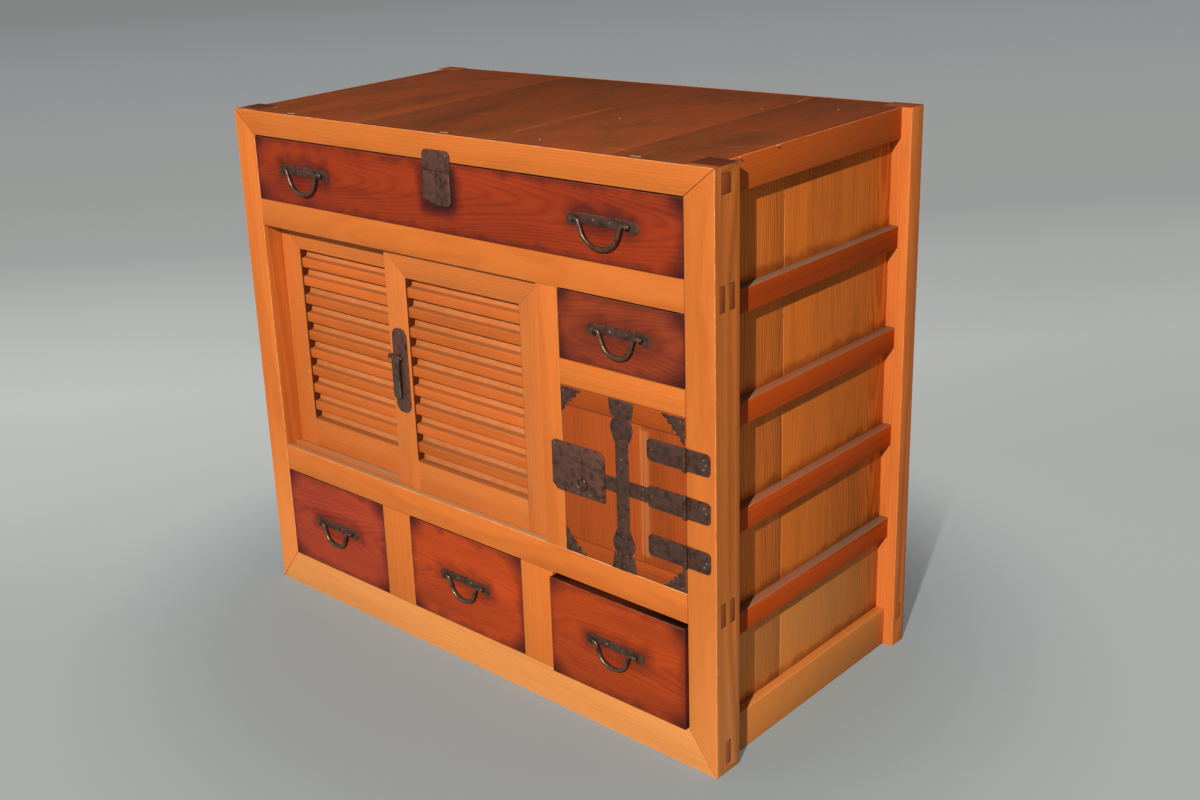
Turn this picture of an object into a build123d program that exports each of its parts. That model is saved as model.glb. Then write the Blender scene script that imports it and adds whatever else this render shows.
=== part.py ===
from build123d import *
import os
from math import sqrt

# A small mizuya kitchen cabinet: a mitred front frame on four posts, framed sides with battens,
# five drawers, a pair of louvred sliding doors and one hinged door with iron straps.
# Millimetres, +Z up. The pieces are worked out from the front left bottom corner of the carcass:
# X runs to the right, Y runs back from the front face, Z runs up from the floor. save() then moves
# every piece so that the origin lies on the floor, in the middle of the whole footprint.

# ---- Carcass: overall plan and the heights from the floor up ------------------------------------
width = 880.0
depth = 453.0
bottom_rail_h = 56.0
lower_drawer_h = 149.0
lower_rail_h = 41.0
cupboard_h = 361.0
upper_rail_h = 41.0
top_drawer_h = 97.0
top_rail_h = 36.0

# ---- Front frame -------------------------------------------------------------------------------
post_w = 43.0  # front and back posts, seen from the front
front_post_d = 48.0
back_post_d = 29.0
outer_rail_d = 36.0  # top and bottom rails
door_rail_d = 54.0  # the two rails that carry the sliding doors
inner_rail_d = 30.0  # mullions and the rail under the small drawer
mullion_w = 58.0
stile_w = 35.0
side_bay_w = 198.0  # small drawer and hinged door
small_drawer_h = 93.0
short_rail_h = 35.0
mitre_d = 12.0  # the mitred corner is a lamina this deep, in front of the tenons

# ---- Joints of the frame -----------------------------------------------------------------------
top_tenon_y = 14.0
top_tenon_t = 17.0
top_tenon_rise = 4.0  # above the underside of the top rail
bottom_tenon_y = 18.5
bottom_tenon_t = 10.5
bottom_tenon_rise = 12.0
bottom_tenon_h = 33.0
twin_tenon_y = 9.5
twin_tenon_t = 9.5
twin_tenon_pitch = 19.0
twin_tenon_shoulder = 5.0
blind_tenon_l = 12.0
blind_tenon_t = 10.0
blind_tenon_y = 9.0
blind_shoulder = 7.0

# ---- Sides -------------------------------------------------------------------------------------
batten_inset = 14.5  # outer face of battens and side rails, in from the posts
batten_h = 30.0
batten_low_gap = 129.0  # bottom side rail to the middle of the lowest batten
batten_high_gap = 132.0  # middle of the highest batten to the top side rail
batten_count = 4
batten_housing = 8.0
panel_t = 8.0
panel_inset = 28.0
panel_housing = 8.0
front_board_w = 139.0  # the narrower of the two boards of a side
board_gap = 0.8  # open joint between neighbouring boards
side_top_rail_h = 41.0
side_tenon_l = 15.0
side_tenon_t = 12.0
side_tenon_inset = 5.5
side_tenon_z = 10.0
side_tenon_h = 30.0
side_top_tenon_rise = 9.0
side_top_tenon_h = 16.0

# ---- Back --------------------------------------------------------------------------------------
back_rail_d = 21.0
back_rail_inset = 4.0
back_bottom_rail_z = 32.0  # its underside
back_bottom_rail_h = 40.0
back_board_t = 8.0
back_board_housing = 6.0
back_board_inset = 21.0  # front face of the back boards, in from the back
back_board_count = 5
back_batten_h = 32.0
back_batten_count = 2
back_tenon_t = 10.0
back_tenon_shoulder = 9.0
back_tenon_l = 10.0

# ---- Top ---------------------------------------------------------------------------------------
top_board_t = 9.0
top_lip = 3.5  # thin lip of the rails round the top boards
top_board_widths = (256.0, 256.0, 196.0)  # the last board takes what is left
peg_w = 16.0
peg_t = 4.0
peg_depth = 24.0
peg_y = 12.0
peg_shares = (0.139, 0.502, 0.864)  # of the width

# ---- Inside ------------------------------------------------------------------------------------
shelf_t = 12.0
bearer_h = 20.0
guide_h = 20.0
partition_t = 12.0

# ---- Drawers -----------------------------------------------------------------------------------
drawer_back_gap = 32.0  # behind a closed drawer
drawer_front_t = 18.0
drawer_side_t = 9.0
drawer_lap = 9.0  # sides lapped into the front
drawer_bottom_t = 6.0
drawer_side_drop = 6.0  # sides and back end this far below the top of the front
drawer_gap = 1.0  # each side
drawer_slide_gap = 0.3  # under the drawer
drawer_top_gap = 1.5
worn_top_gap = 5.0  # the lower right front has shrunk and sits low
worn_drawer_out = 7.0  # and it stands this far open

# ---- Bail handles ------------------------------------------------------------------------------
plate_t = 1.5
bail_standoff = 6.5
bail_r = 2.6
bail_pin_r = 1.7
bail_bore_gap = 0.2
lug_t = 3.5
lug_wall = 1.7
lug_side_gap = 0.4
knob_r = 2.7
knob_l = 2.2
bail_shoulder = 6.0  # straight start of the bail beside its lug
bail_corner_r = 4.5
bail_lean = 11.0  # how far each arm leans in on its way down
bail_bottom_round = 1.25  # radius of the bottom bends, against half the straight between them
large_plate_w = 112.0
large_plate_h = 13.0
large_bail_w = 83.0
large_bail_drop = 33.0
small_plate_w = 99.0
small_plate_h = 12.0
small_bail_w = 72.0
small_bail_drop = 30.0
plate_lobe = 2.0  # the round ends are this much taller than the middle
large_handle_spread = 562.0
large_handle_shift = -4.0
handle_rise = 4.0  # handles sit this far above the middle of their drawer

# ---- Lock of the top drawer --------------------------------------------------------------------
lap_gap = 0.3  # a lock plate stands this far off the frame that it laps over
lock_shift = -3.5  # from the middle of the cabinet
lock_w = 51.0
lock_h = 45.0
lock_t = 4.0
lock_left_clip_w = 24.0
lock_left_clip_h = 8.0
lock_right_clip = 4.0
lock_keyhole_shift = 10.0
lock_keyhole_drop = 10.0
lock_drop = 12.0  # the two plates meet this far below the top of the drawer front
lock_lap_h = 28.0
lock_lap_t = 2.0
lock_lap_r = 8.0
keyhole_r = 2.2
keyhole_w = 2.0
keyhole_l = 8.0

# ---- Louvred sliding doors ---------------------------------------------------------------------
door_t = 17.0
door_setback = 12.0
door_pitch = 20.0  # from the front door's face to the rear door's face
door_overlap = 42.0
door_end_gap = 0.5
door_stile_w = 42.0
door_top_rail_h = 38.0
door_bottom_rail_h = 44.0
tongue_t = 7.5
groove_gap = 0.5
sill_groove = 4.0
head_groove = 12.0
lower_tongue = 3.7
upper_tongue = 8.0
door_lift_gap = 0.8
door_tenon_l = 14.0
door_tenon_t = 6.0
slat_count = 10
slat_housing = 3.0
slat_setback = 2.5
slat_gap_h = 15.0  # open height between one slat and the next
slat_floor_d = 9.0  # the floor of a gap runs back this far to its upstand
slat_floor_rise = 1.5
slat_upstand_d = 12.0
slat_upstand_h = 14.0
slat_d = 13.5

# ---- Latch on the sliding doors ----------------------------------------------------------------
latch_w = 30.0
latch_h = 128.0
latch_r = 13.0
latch_rise = 0.5  # above the middle of the doors
latch_pivot_rise = 21.0
latch_standoff = 5.0
latch_pin_r = 1.6
latch_head_r = 3.4
latch_head_l = 3.0
latch_bar_w = 14.0
latch_bar_t = 3.6
latch_bar_l = 62.0
latch_bar_r = 4.5
latch_lug_t = 2.4
latch_lug_gap = 0.3

# ---- Hinged door -------------------------------------------------------------------------------
hinged_gap = 0.8
hinged_t = 18.0
clamp_top_h = 25.0  # cross-grained end clamps of the door
clamp_bottom_h = 22.0
clamp_tongue = 6.0
clamp_tongue_t = 6.0
door_board_split = 131.0  # width of the left board
iron_t = 1.5
knuckle_r = 3.0
knuckle_off = 3.2  # hinge axis in front of the frame
hinge_pin_r = 1.5
hinge_bore_gap = 0.05
knuckle_gap = 0.3
leaf_h = 29.0
leaf_door_l = 58.0
leaf_post_l = 36.0
leaf_r = 6.0
pin_head_r = 2.3
pin_head_h = 1.2
hinge_low_gap = 1.2  # between the lower corner iron and the lowest hinge
hinge_high_gap = 3.2
middle_hinge_rise = 0.5  # above the middle of the door
strap_in = 98.5  # middle of the upright strap, in from the post
strap_w = 20.0
strap_h = 20.0
strap_end_w = 40.0
strap_waist_w = 32.0
strap_waist_l = 22.0
strap_bulge_l = 37.0  # from the end of the strap to the middle of its round bulge
strap_bulge_r = 17.5
strap_taper_l = 58.0  # from the end of the strap to where it is plain again
strap_taper_drop = 7.0  # the taper leaves the bulge this far past its middle
iron_leg = 34.0
iron_inset = 1.0
iron_cusp_r = 2.6
iron_cusp_places = (0.22, 0.41, 0.6, 0.79)  # shares of the long edge
lockplate_w = 88.0
lockplate_h = 69.0
lockplate_t = 2.0
lockplate_lap = 17.0  # over the stile
lockplate_rise = 4.0  # above the middle of the door
lockplate_clip = 8.0
ring_in = 35.0  # from the stile
ring_r = 7.5
ring_wire_r = 1.3
ring_standoff = 3.0
ring_lug_t = 2.5
ring_lug_wall = 1.2
ring_bore_gap = 0.9
ring_drop = 7.5  # ring axis below the middle of the lock plate
hinged_keyhole_rise = 19.5

# ---- Places that follow from the sizes above -----------------------------------------------------
lower_z0 = bottom_rail_h
sill_z0 = lower_z0 + lower_drawer_h
sill_z1 = sill_z0 + lower_rail_h
head_z0 = sill_z1 + cupboard_h
head_z1 = head_z0 + upper_rail_h
top_rail_z0 = head_z1 + top_drawer_h
height = top_rail_z0 + top_rail_h
board_z0 = height - top_board_t

open_x0 = post_w
open_x1 = width - post_w
back_post_y = depth - back_post_d
stile_x1 = open_x1 - side_bay_w
stile_x0 = stile_x1 - stile_w
bay_w = (open_x1 - open_x0 - 2 * mullion_w) / 3
mullion_xs = (open_x0 + bay_w, open_x0 + 2 * bay_w + mullion_w)
short_rail_z1 = head_z0 - small_drawer_h
short_rail_z0 = short_rail_z1 - short_rail_h

back_board_y = depth - back_board_inset
drawer_l = back_board_y - drawer_back_gap
panel_joint_y = front_post_d - panel_housing + front_board_w
lowest_batten_z = bottom_rail_h + batten_low_gap
highest_batten_z = height - side_top_rail_h - batten_high_gap
batten_pitch = (highest_batten_z - lowest_batten_z) / (batten_count - 1)
back_bottom_rail_z1 = back_bottom_rail_z + back_bottom_rail_h
panel_x0 = width - panel_inset - panel_t
panel_x1 = width - panel_inset
batten_x1 = width - batten_inset
board_edge = batten_inset + top_lip  # side edges of the top boards, in from the posts
back_rail_y0 = depth - back_rail_inset - back_rail_d
back_rail_y1 = depth - back_rail_inset

front_groove_y = door_setback - groove_gap
groove_w = tongue_t + 2 * groove_gap
sliding_w = (stile_x0 - open_x0 + door_overlap) / 2 - door_end_gap

lock_x = width / 2 + lock_shift
latch_z = (sill_z1 + head_z0) / 2 + latch_rise

door_low, door_high = sill_z1 + hinged_gap, short_rail_z0 - hinged_gap
door_middle = (door_low + door_high) / 2
iron_reach = iron_inset + iron_leg + leaf_h / 2  # door edge to a hinge that touches its iron
low_hinge_z = door_low + iron_reach + hinge_low_gap
high_hinge_z = door_high - iron_reach - hinge_high_gap
hinge_zs = (low_hinge_z, door_middle + middle_hinge_rise, high_hinge_z)
lockplate_z = door_middle + lockplate_rise
ring_x = stile_x1 + ring_in
strap_x = open_x1 - strap_in
hinge_x = open_x1 - hinged_gap / 2
hinge_y = -knuckle_off
lug_r = bail_pin_r + bail_bore_gap + lug_wall
front_reach = worn_drawer_out + bail_standoff + lug_r


def block(x, y, z):
    """A squared timber or plate between two values on each axis."""
    size = (x[1] - x[0], y[1] - y[0], z[1] - z[0])
    middle = ((x[0] + x[1]) / 2, (y[0] + y[1]) / 2, (z[0] + z[1]) / 2)
    return Pos(*middle) * Box(*size)


def plate(points, y0, y1):
    """A flat shape drawn in the XZ plane and made solid from y0 back to y1."""
    face = Plane.XZ * Polygon(*points, align=None)
    return Pos(0, y0, 0) * extrude(face, amount=y1 - y0, dir=(0, 1, 0))


def flat(sketch, x, z, y0, y1):
    """A sketch set upright at (x, z) and made solid from y0 back to y1."""
    return Pos(x, y0, z) * extrude(Plane.XZ * sketch, amount=y1 - y0, dir=(0, 1, 0))


def rod_x(radius, x0, x1, y, z):
    """A round bar along X."""
    return Pos((x0 + x1) / 2, y, z) * Rot(0, 90, 0) * Cylinder(radius, x1 - x0)


def other_side(shape):
    """The same piece on the other side of the cabinet."""
    return mirror(shape, about=Plane.YZ.offset(width / 2))


def cut(shape, tools):
    """A shape with a list of others taken out of it."""
    for tool in tools:
        shape = shape - tool
    return shape


def save(name, *pieces):
    """Writes one node, moved so that the origin is the middle of the footprint."""
    middle = Location((-width / 2, -(depth - front_reach) / 2, 0))
    solids = [middle * solid for piece in pieces for solid in piece.solids()]
    shape = solids[0] if len(solids) == 1 else Compound(solids)
    export_step(shape, f"parts/{name}.step")


# ---- Front frame -------------------------------------------------------------------------------
def mitre_wedge(bottom):
    """The corner of the top or bottom rail that runs out over the right post to the mitre."""
    if bottom:
        points = ((open_x1, 0), (width, 0), (open_x1, bottom_rail_h))
    else:
        points = ((open_x1, top_rail_z0), (width, height), (open_x1, height))
    return plate(points, 0, mitre_d)


def through_tenons(rail):
    """Tenons of one front rail that pass right through the right post."""
    if rail == "top":
        z = (top_rail_z0 + top_tenon_rise, board_z0)
        return [block((open_x1, width), (top_tenon_y, top_tenon_y + top_tenon_t), z)]
    if rail == "bottom":
        z = (bottom_tenon_rise, bottom_tenon_rise + bottom_tenon_h)
        return [block((open_x1, width), (bottom_tenon_y, bottom_tenon_y + bottom_tenon_t), z)]
    z0, z1 = (sill_z0, sill_z1) if rail == "lower" else (head_z0, head_z1)
    ys = (twin_tenon_y, twin_tenon_y + twin_tenon_pitch)
    z = (z0 + twin_tenon_shoulder, z1 - twin_tenon_shoulder)
    return [block((open_x1, width), (y, y + twin_tenon_t), z) for y in ys]


def front_rail(rail, z0, z1, rail_d, wedge=None):
    """A rail across the front with its tenons, and its mitred ends if it has them."""
    ends = through_tenons(rail)
    if wedge:
        ends.append(wedge)
    shape = block((open_x0, open_x1), (0, rail_d), (z0, z1))
    for end in ends:
        shape = shape + end + other_side(end)
    return shape


def top_rail():
    """Top rail, rebated behind its lip for the top boards."""
    shape = front_rail("top", top_rail_z0, height, outer_rail_d, mitre_wedge(False))
    shape = shape - block((open_x0, open_x1), (top_lip, outer_rail_d), (board_z0, height))
    return cut(shape, pegs())


def door_grooves(z0, z1):
    """The front and rear grooves in which the sliding doors run."""
    ys = (front_groove_y, front_groove_y + door_pitch)
    return [block((open_x0, stile_x0), (y, y + groove_w), (z0, z1)) for y in ys]


def upright_tenons(x0, x1, z0, z1):
    """Blind tenons at both ends of an upright that stands between two rails."""
    x = (x0 + blind_shoulder, x1 - blind_shoulder)
    y = (blind_tenon_y, blind_tenon_y + blind_tenon_t)
    return [block(x, y, (z0 - blind_tenon_l, z0)), block(x, y, (z1, z1 + blind_tenon_l))]


def stile_tenons():
    """Tenons of the stile between the sliding doors and the right bay."""
    return upright_tenons(stile_x0, stile_x1, sill_z1, head_z0)


def mullion_tenons():
    """Tenons of the two mullions between the lower drawers."""
    ends = []
    for x in mullion_xs:
        ends += upright_tenons(x, x + mullion_w, lower_z0, sill_z0)
    return ends


def short_rail_tenons():
    """Tenons of the rail under the small drawer."""
    y = (blind_tenon_y, blind_tenon_y + blind_tenon_t)
    z = (short_rail_z0 + blind_shoulder, short_rail_z1 - blind_shoulder)
    left = block((stile_x1 - blind_tenon_l, stile_x1), y, z)
    return [left, block((open_x1, open_x1 + blind_tenon_l), y, z)]


def lower_rail():
    """The sill, with both door grooves, the stile's mortise and the mullions' mortises."""
    shape = front_rail("lower", sill_z0, sill_z1, door_rail_d)
    shape = cut(shape, door_grooves(sill_z1 - sill_groove, sill_z1))
    return cut(shape, stile_tenons() + mullion_tenons())


def upper_rail():
    """The head of the doors, with deeper grooves so that the doors lift out."""
    shape = front_rail("upper", head_z0, head_z1, door_rail_d)
    shape = cut(shape, door_grooves(head_z0, head_z0 + head_groove))
    return cut(shape, stile_tenons())


def bottom_rail():
    """Bottom rail, with its mitred ends and the mullions' mortises."""
    shape = front_rail("bottom", 0, bottom_rail_h, outer_rail_d, mitre_wedge(True))
    return cut(shape, mullion_tenons())


def stile():
    """Stile between the sliding doors and the right bay."""
    shape = block((stile_x0, stile_x1), (0, door_rail_d), (sill_z1, head_z0))
    for end in stile_tenons():
        shape = shape + end
    return cut(shape, short_rail_tenons())


def short_rail():
    """Rail under the small drawer."""
    shape = block((stile_x1, open_x1), (0, inner_rail_d), (short_rail_z0, short_rail_z1))
    for end in short_rail_tenons():
        shape = shape + end
    return shape


def mullions():
    """The two mullions between the lower drawers."""
    pieces = []
    for x in mullion_xs:
        shape = block((x, x + mullion_w), (0, inner_rail_d), (lower_z0, sill_z0))
        for end in upright_tenons(x, x + mullion_w, lower_z0, sill_z0):
            shape = shape + end
        pieces.append(shape)
    return pieces


# ---- Sides: built on the right, mirrored to the left ----------------------------------------------
def side_panel_z():
    """Lower and upper edge of the side boards, in their rebates."""
    return (bottom_rail_h - panel_housing, height - side_top_rail_h + panel_housing)


def side_tenon_blocks(bottom):
    """Tenons of one side rail into the front and the back post."""
    x = (batten_x1 - side_tenon_inset - side_tenon_t, batten_x1 - side_tenon_inset)
    z0 = side_tenon_z if bottom else height - side_top_rail_h + side_top_tenon_rise
    z1 = z0 + (side_tenon_h if bottom else side_top_tenon_h)
    front = block(x, (front_post_d - side_tenon_l, front_post_d), (z0, z1))
    return [front, block(x, (back_post_y, back_post_y + side_tenon_l), (z0, z1))]


def side_rails():
    """Top and bottom rail of the right side."""
    x = (panel_x0, batten_x1)
    y = (front_post_d, back_post_y)
    low, high = side_panel_z()
    groove = block((panel_x0, panel_x1), y, (low, high))
    bottom = block(x, y, (0, bottom_rail_h)) - groove
    top = block(x, y, (height - side_top_rail_h, height)) - groove
    top = top - block((panel_x0, width - board_edge), y, (board_z0, height))
    for end in side_tenon_blocks(True):
        bottom = bottom + end
    for end in side_tenon_blocks(False):
        top = top + end
    return [bottom, top]


def side_battens():
    """The four battens across the right side, housed in both posts."""
    y = (front_post_d - batten_housing, back_post_y + batten_housing)
    pieces = []
    for i in range(batten_count):
        z = lowest_batten_z + i * batten_pitch
        pieces.append(block((panel_x1, batten_x1), y, (z - batten_h / 2, z + batten_h / 2)))
    return pieces


def side_boards():
    """The two upright boards of the right side."""
    y0, y1 = front_post_d - panel_housing, back_post_y + panel_housing
    x = (panel_x0, panel_x1)
    front = block(x, (y0, panel_joint_y - board_gap / 2), side_panel_z())
    return [front, block(x, (panel_joint_y + board_gap / 2, y1), side_panel_z())]


def panel_slot():
    """The space that both boards of the right side fill, from post to post."""
    y = (front_post_d - panel_housing, back_post_y + panel_housing)
    return block((panel_x0, panel_x1), y, side_panel_z())


def front_post(right):
    """A front post with the mortises of every rail and batten that meets it."""
    shape = block((open_x1, width), (0, front_post_d), (0, height))
    tools = [mitre_wedge(True), mitre_wedge(False), panel_slot()]
    for rail in ("top", "upper", "lower", "bottom"):
        tools += through_tenons(rail)
    tools += side_tenon_blocks(True) + side_tenon_blocks(False) + side_battens()
    if right:
        return cut(shape, tools + short_rail_tenons())
    return other_side(cut(shape, tools))


# ---- Back --------------------------------------------------------------------------------------
def back_board_z():
    """Lower and upper edge of the back boards, in the rebates of the back rails."""
    z0 = back_bottom_rail_z1 - back_board_housing
    return (z0, height - side_top_rail_h + back_board_housing)


def back_boards():
    """Upright boards that close the back, housed in the posts and rails."""
    x0, x1 = open_x0 - back_board_housing, open_x1 + back_board_housing
    pitch = (x1 - x0 + board_gap) / back_board_count
    y = (back_board_y, back_board_y + back_board_t)
    starts = [x0 + i * pitch for i in range(back_board_count)]
    return [block((x, x + pitch - board_gap), y, back_board_z()) for x in starts]


def back_slot():
    """The space that the back boards fill."""
    x = (open_x0 - back_board_housing, open_x1 + back_board_housing)
    return block(x, (back_board_y, back_board_y + back_board_t), back_board_z())


def back_rails():
    """Bottom and top rail of the back, and the two battens behind its boards."""
    inside = (open_x0, open_x1)
    y = (back_rail_y0, back_rail_y1)
    middle_y = (back_rail_y0 + back_rail_y1) / 2
    tenon_y = (middle_y - back_tenon_t / 2, middle_y + back_tenon_t / 2)
    z0, z1 = back_bottom_rail_z, back_bottom_rail_z1
    bottom = block(inside, y, (z0, z1)) - back_slot()
    bottom_tenon_z = (z0 + back_tenon_shoulder, z1 - back_tenon_shoulder)
    bottom = bottom + block((0, open_x0), tenon_y, bottom_tenon_z)
    bottom = bottom + block((open_x1, width), tenon_y, bottom_tenon_z)
    z0, z1 = height - side_top_rail_h, height
    top = block(inside, y, (z0, z1)) - back_slot()
    top = top - block(inside, (back_rail_y0, back_rail_y1 - top_lip), (board_z0, height))
    top_tenon_z = (z0 + back_tenon_shoulder, board_z0)
    top = top + block((open_x0 - back_tenon_l, open_x0), tenon_y, top_tenon_z)
    top = top + block((open_x1, open_x1 + back_tenon_l), tenon_y, top_tenon_z)
    x = (open_x0 - batten_housing, open_x1 + batten_housing)
    batten_y = (back_board_y + back_board_t, back_rail_y1)
    battens = []
    pitch = (height - side_top_rail_h - back_bottom_rail_z1) / (back_batten_count + 1)
    for i in range(back_batten_count):
        z = back_bottom_rail_z1 + (i + 1) * pitch
        battens.append(block(x, batten_y, (z - back_batten_h / 2, z + back_batten_h / 2)))
    return [bottom, top] + battens


def back_posts():
    """Both back posts with their mortises and housings."""
    shape = block((open_x1, width), (back_post_y, depth), (0, height))
    tools = [panel_slot(), back_slot()] + side_battens() + back_rails()
    tools += side_tenon_blocks(True) + side_tenon_blocks(False)
    right = cut(shape, tools)
    return [other_side(right), right]


# ---- Top and inside ------------------------------------------------------------------------------
def post_spaces():
    """The room that the four posts take, to notch boards round them."""
    spaces = []
    for y in ((0, front_post_d), (back_post_y, depth)):
        right = block((open_x1, width), y, (0, height))
        spaces += [right, other_side(right)]
    return spaces


def pegs():
    """Wooden pegs that hold the front ends of the top boards to the rail."""
    y = (peg_y - peg_t / 2, peg_y + peg_t / 2)
    z = (height - peg_depth, height)
    xs = [width * share for share in peg_shares]
    return [block((x - peg_w / 2, x + peg_w / 2), y, z) for x in xs]


def top_boards():
    """Boards of the top, side by side, running from front to back."""
    y = (top_lip, back_rail_y1 - top_lip)
    starts = [board_edge]
    for board_w in top_board_widths:
        starts.append(starts[-1] + board_w)
    ends = starts[1:] + [width - board_edge + board_gap]
    pieces = []
    for x0, x1 in zip(starts, ends):
        board = block((x0, x1 - board_gap), y, (board_z0, height))
        pieces.append(cut(board, post_spaces() + pegs()))
    return pieces


def shelf(x0, x1, y0, y1, z1):
    """A dust board with its top at z1, notched round the posts and the stile."""
    board = block((x0, x1), (y0, y1), (z1 - shelf_t, z1))
    stile_space = block((stile_x0, stile_x1), (0, door_rail_d), (sill_z1, head_z0))
    return cut(board, post_spaces() + [stile_space])


def partition_boards():
    """Upright boards behind the stile and behind both mullions."""
    middle = (stile_x0 + stile_x1) / 2
    x = (middle - partition_t / 2, middle + partition_t / 2)
    pieces = [block(x, (door_rail_d, back_board_y), (sill_z1, head_z1 - shelf_t))]
    for mullion_x in mullion_xs:
        middle = mullion_x + mullion_w / 2
        x = (middle - partition_t / 2, middle + partition_t / 2)
        board = block(x, (inner_rail_d, back_board_y), (lower_z0, sill_z1 - shelf_t))
        rails = block(x, (0, door_rail_d), (sill_z0, sill_z1)) + back_rails()[0]
        pieces.append(board - rails)
    return pieces


def side_runners():
    """Bearers under the shelves and guides beside the drawers, on the inside of both sides."""
    x = (open_x1, panel_x0)
    y = (front_post_d, back_post_y)
    bearers = (lower_z0 - shelf_t, sill_z1 - shelf_t, head_z1 - shelf_t)
    levels = [(z - bearer_h, z) for z in bearers]
    levels += [(z, z + guide_h) for z in (lower_z0, head_z1)]
    pieces = [block(x, y, z) for z in levels]
    pieces += [other_side(piece) for piece in pieces]
    small_levels = (
        (short_rail_z1 - shelf_t - bearer_h, short_rail_z1 - shelf_t),
        (short_rail_z1, short_rail_z1 + guide_h),
    )
    pieces += [block(x, y, z) for z in small_levels]
    return pieces


def inner_runners():
    """Guides and bearers on the partition boards."""
    stile_mid = (stile_x0 + stile_x1 + partition_t) / 2
    y = (door_rail_d, back_board_y)
    bearer_z1 = short_rail_z1 - shelf_t
    pieces = [
        block((stile_mid, stile_x1), y, (bearer_z1 - bearer_h, bearer_z1)),
        block((stile_mid, stile_x1), y, (short_rail_z1, short_rail_z1 + guide_h)),
    ]
    for mullion_x in mullion_xs:
        low_x1 = mullion_x + (mullion_w - partition_t) / 2
        high_x0 = mullion_x + (mullion_w + partition_t) / 2
        for x in ((mullion_x, low_x1), (high_x0, mullion_x + mullion_w)):
            pieces.append(block(x, (inner_rail_d, back_rail_y0), (lower_z0, lower_z0 + guide_h)))
    return pieces


# ---- Drawers -----------------------------------------------------------------------------------
def drawer_space(x0, x1, z0, z1, top_gap):
    """Outer faces of a drawer in an opening, after its clearances."""
    return (x0 + drawer_gap, x1 - drawer_gap), (z0 + drawer_slide_gap, z1 - top_gap)


def drawer_side_z(z):
    """Lower and upper edge of the drawer sides and back."""
    return (z[0] + drawer_bottom_t, z[1] - drawer_side_drop)


def drawer_sides(x, z):
    """Both sides of a drawer, lapped into its front."""
    y = (drawer_front_t - drawer_lap, drawer_l)
    left = block((x[0], x[0] + drawer_side_t), y, drawer_side_z(z))
    return [left, block((x[1] - drawer_side_t, x[1]), y, drawer_side_z(z))]


def drawer_front(x, z):
    """The front board of a drawer, with the laps of its sides cut out."""
    return cut(block(x, (0, drawer_front_t), z), drawer_sides(x, z))


def drawer_box(x, z):
    """Sides, back and bottom of a drawer."""
    inner = (x[0] + drawer_side_t, x[1] - drawer_side_t)
    back = block(inner, (drawer_l - drawer_side_t, drawer_l), drawer_side_z(z))
    bottom = block(x, (drawer_front_t, drawer_l), (z[0], z[0] + drawer_bottom_t))
    return drawer_sides(x, z) + [back, bottom]


def handle_plate(x, z, plate_w, plate_h, bail_w, face_y=0.0):
    """Back plate of a bail handle with the two lugs that the bail turns in."""
    lobe_r = plate_h / 2 + plate_lobe
    outline = Rectangle(plate_w - 2 * lobe_r, plate_h)
    for side in (-1, 1):
        outline += Pos(side * (plate_w / 2 - lobe_r), -plate_lobe) * Circle(lobe_r)
    shape = flat(outline, x, z, face_y - plate_t, face_y)
    axis_y = face_y - bail_standoff
    for side in (-1, 1):
        lug_x = x + side * bail_w / 2
        span = (lug_x - lug_t / 2, lug_x + lug_t / 2)
        shape = shape + rod_x(lug_r, *span, axis_y, z)
        shape = shape + block(span, (axis_y, face_y), (z - lug_r, z + lug_r))
        shape = shape - rod_x(bail_pin_r + bail_bore_gap, *span, axis_y, z)
    return shape


def bail(x, z, bail_w, drop, face_y=0.0):
    """A hanging bail: a bent bar with a pin and a riveted knob at each end."""
    y = face_y - bail_standoff
    start = bail_w / 2 - lug_t / 2 - lug_side_gap
    bend = start - bail_shoulder
    foot = bend - bail_lean
    points = [(-start, 0), (-bend, 0), (-foot, -drop), (foot, -drop), (bend, 0), (start, 0)]
    corners = [(x + px, y, z + pz) for px, pz in points]
    bottom_r = foot * bail_bottom_round
    radii = [bail_corner_r, bottom_r, bottom_r, bail_corner_r]
    line = FilletPolyline(*corners, radius=radii)
    section = Plane(origin=corners[0], z_dir=(1, 0, 0)) * Circle(bail_r)
    shape = sweep(section, path=line)
    tip = bail_w / 2 + lug_t / 2 + lug_side_gap
    for side in (-1, 1):
        inner, outer = sorted((x + side * start, x + side * (tip + knob_l)))
        shape = shape + rod_x(bail_pin_r, inner, outer, y, z)
        inner, outer = sorted((x + side * tip, x + side * (tip + knob_l)))
        shape = shape + rod_x(knob_r, inner, outer, y, z)
    return shape


def keyhole(x, z, y0, y1):
    """A keyhole cut through a lock plate."""
    return flat(Circle(keyhole_r), x, z, y0, y1) + block(
        (x - keyhole_w / 2, x + keyhole_w / 2), (y0, y1), (z - keyhole_l, z)
    )


def top_lock(front_top_z):
    """Lock of the top drawer: its case on the drawer, and a plate that laps over the rail."""
    x0, x1 = lock_x - lock_w / 2, lock_x + lock_w / 2
    z1 = front_top_z - lock_drop
    z0 = z1 - lock_h
    points = (
        (x0 + lock_left_clip_w, z0),
        (x1 - lock_right_clip, z0),
        (x1, z0 + lock_right_clip),
        (x1, z1),
        (x0, z1),
        (x0, z0 + lock_left_clip_h),
    )
    case = plate(points, -lock_t, 0)
    case = case - keyhole(lock_x + lock_keyhole_shift, z1 - lock_keyhole_drop, -lock_t, 0)
    lap = block((x0, x1), (-lap_gap - lock_lap_t, -lap_gap), (z1, z1 + lock_lap_h))
    lap = fillet(lap.edges().filter_by(Axis.Y).group_by(Axis.Z)[-1], lock_lap_r)
    lap = lap + block((x0, x1), (-lap_gap, 0), (z1, front_top_z))
    return [case, lap]


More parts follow.
